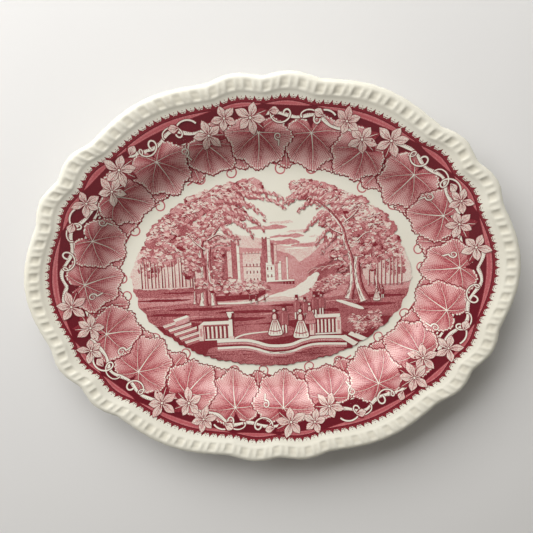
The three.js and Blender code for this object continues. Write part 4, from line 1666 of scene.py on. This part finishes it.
class PLATTER_OT_stage(bpy.types.Operator):
    """Pale table, soft lamps and the camera"""
    bl_idname = "platter.stage"
    bl_label = "Stage"

    def execute(self, context):
        bm = bmesh.new()
        bmesh.ops.create_grid(bm, x_segments=2, y_segments=2, size=4.0)
        floor = mesh_piece("table", bm)
        f = Finish("pale_table")
        tone = f.mix(f.noise(3.0, 2.0), (0.72, 0.72, 0.72), (0.76, 0.76, 0.755))
        floor.data.materials.append(f.finish(tone, f.band(f.noise(40.0, 2.0), 0.3, 0.7, 0.6, 0.7)))

        def lamp(name, place, aim, size, power, tint, mirrored=True):
            data = bpy.data.lights.new(name, "AREA")
            data.shape = "RECTANGLE"
            data.size, data.size_y = size
            data.energy = power
            data.color = tint
            lamp_object = bpy.data.objects.new(name, data)
            context.scene.collection.objects.link(lamp_object)
            lamp_object.location = place
            lamp_object.visible_glossy = mirrored
            lamp_object.rotation_euler = (Vector(aim) - Vector(place)).to_track_quat("-Z", "Y").to_euler()

        lamp("window", (-0.45, 1.25, 0.95), (0, 0.0, 0), (2.0, 1.0), 20.0, (1.0, 0.99, 0.975))
        lamp("bounce", (-0.75, 1.15, 0.95), (0, 0.0, 0), (2.0, 1.0), 27.0, (1.0, 0.98, 0.96), False)
        lamp("fill", (0.0, -0.9, 1.6), (0, 0, 0), (2.2, 1.4), 2.0, (1.0, 0.95, 0.86))
        world = bpy.data.worlds.new("soft_room")
        context.scene.world = world
        world.use_nodes = True
        world.node_tree.nodes["Background"].inputs[0].default_value = (1.0, 0.94, 0.84, 1.0)
        world.node_tree.nodes["Background"].inputs[1].default_value = 0.14
        context.scene.view_settings.view_transform = "Standard"

        eye = bpy.data.cameras.new("camera")
        eye.sensor_width = 36.0
        eye.lens = CAMERA_LENS
        camera = bpy.data.objects.new("camera", eye)
        context.scene.collection.objects.link(camera)
        tip, lean, roll = (math.radians(turn) for turn in CAMERA_TURNS)
        turn = Matrix.Rotation(tip, 3, "X") @ Matrix.Rotation(lean, 3, "Y") @ Matrix.Rotation(roll, 3, "Z")
        axes = turn.transposed()
        rim = sizes().height - 0.003
        place = axes @ Vector(CAMERA_PLACE) + Vector((0, 0, rim))
        camera.matrix_world = Matrix.Translation(place) @ axes.to_4x4()
        context.scene.camera = camera
        return {"FINISHED"}


class PLATTER_PT_panel(bpy.types.Panel):
    """Sizes, colours and steps of the platter"""
    bl_idname = "PLATTER_PT_panel"
    bl_label = "Serving platter"
    bl_space_type = "VIEW_3D"
    bl_region_type = "UI"
    bl_category = "Platter"

    def draw(self, context):
        for group in (sizes(), colours()):
            box = self.layout.box()
            for key in group.__annotations__:
                box.prop(group, key)
        for step in STEPS:
            self.layout.operator(step.bl_idname)


STEPS = (
    PLATTER_OT_clay_body,
    PLATTER_OT_glaze,
    PLATTER_OT_base_glaze,
    PLATTER_OT_vine_border,
    PLATTER_OT_park_view,
    PLATTER_OT_stage,
)
CLASSES = (PlatterSizes, PlatterColours, *STEPS, PLATTER_PT_panel)


def register():
    for item in CLASSES:
        bpy.utils.register_class(item)
    bpy.types.Scene.platter_sizes = bpy.props.PointerProperty(type=PlatterSizes)
    bpy.types.Scene.platter_colours = bpy.props.PointerProperty(type=PlatterColours)


def unregister():
    del bpy.types.Scene.platter_colours
    del bpy.types.Scene.platter_sizes
    for item in reversed(CLASSES):
        bpy.utils.unregister_class(item)


def main():
    register()
    for step in STEPS:
        group, name = step.bl_idname.split(".")
        getattr(getattr(bpy.ops, group), name)()


if __name__ == "__main__":
    main()
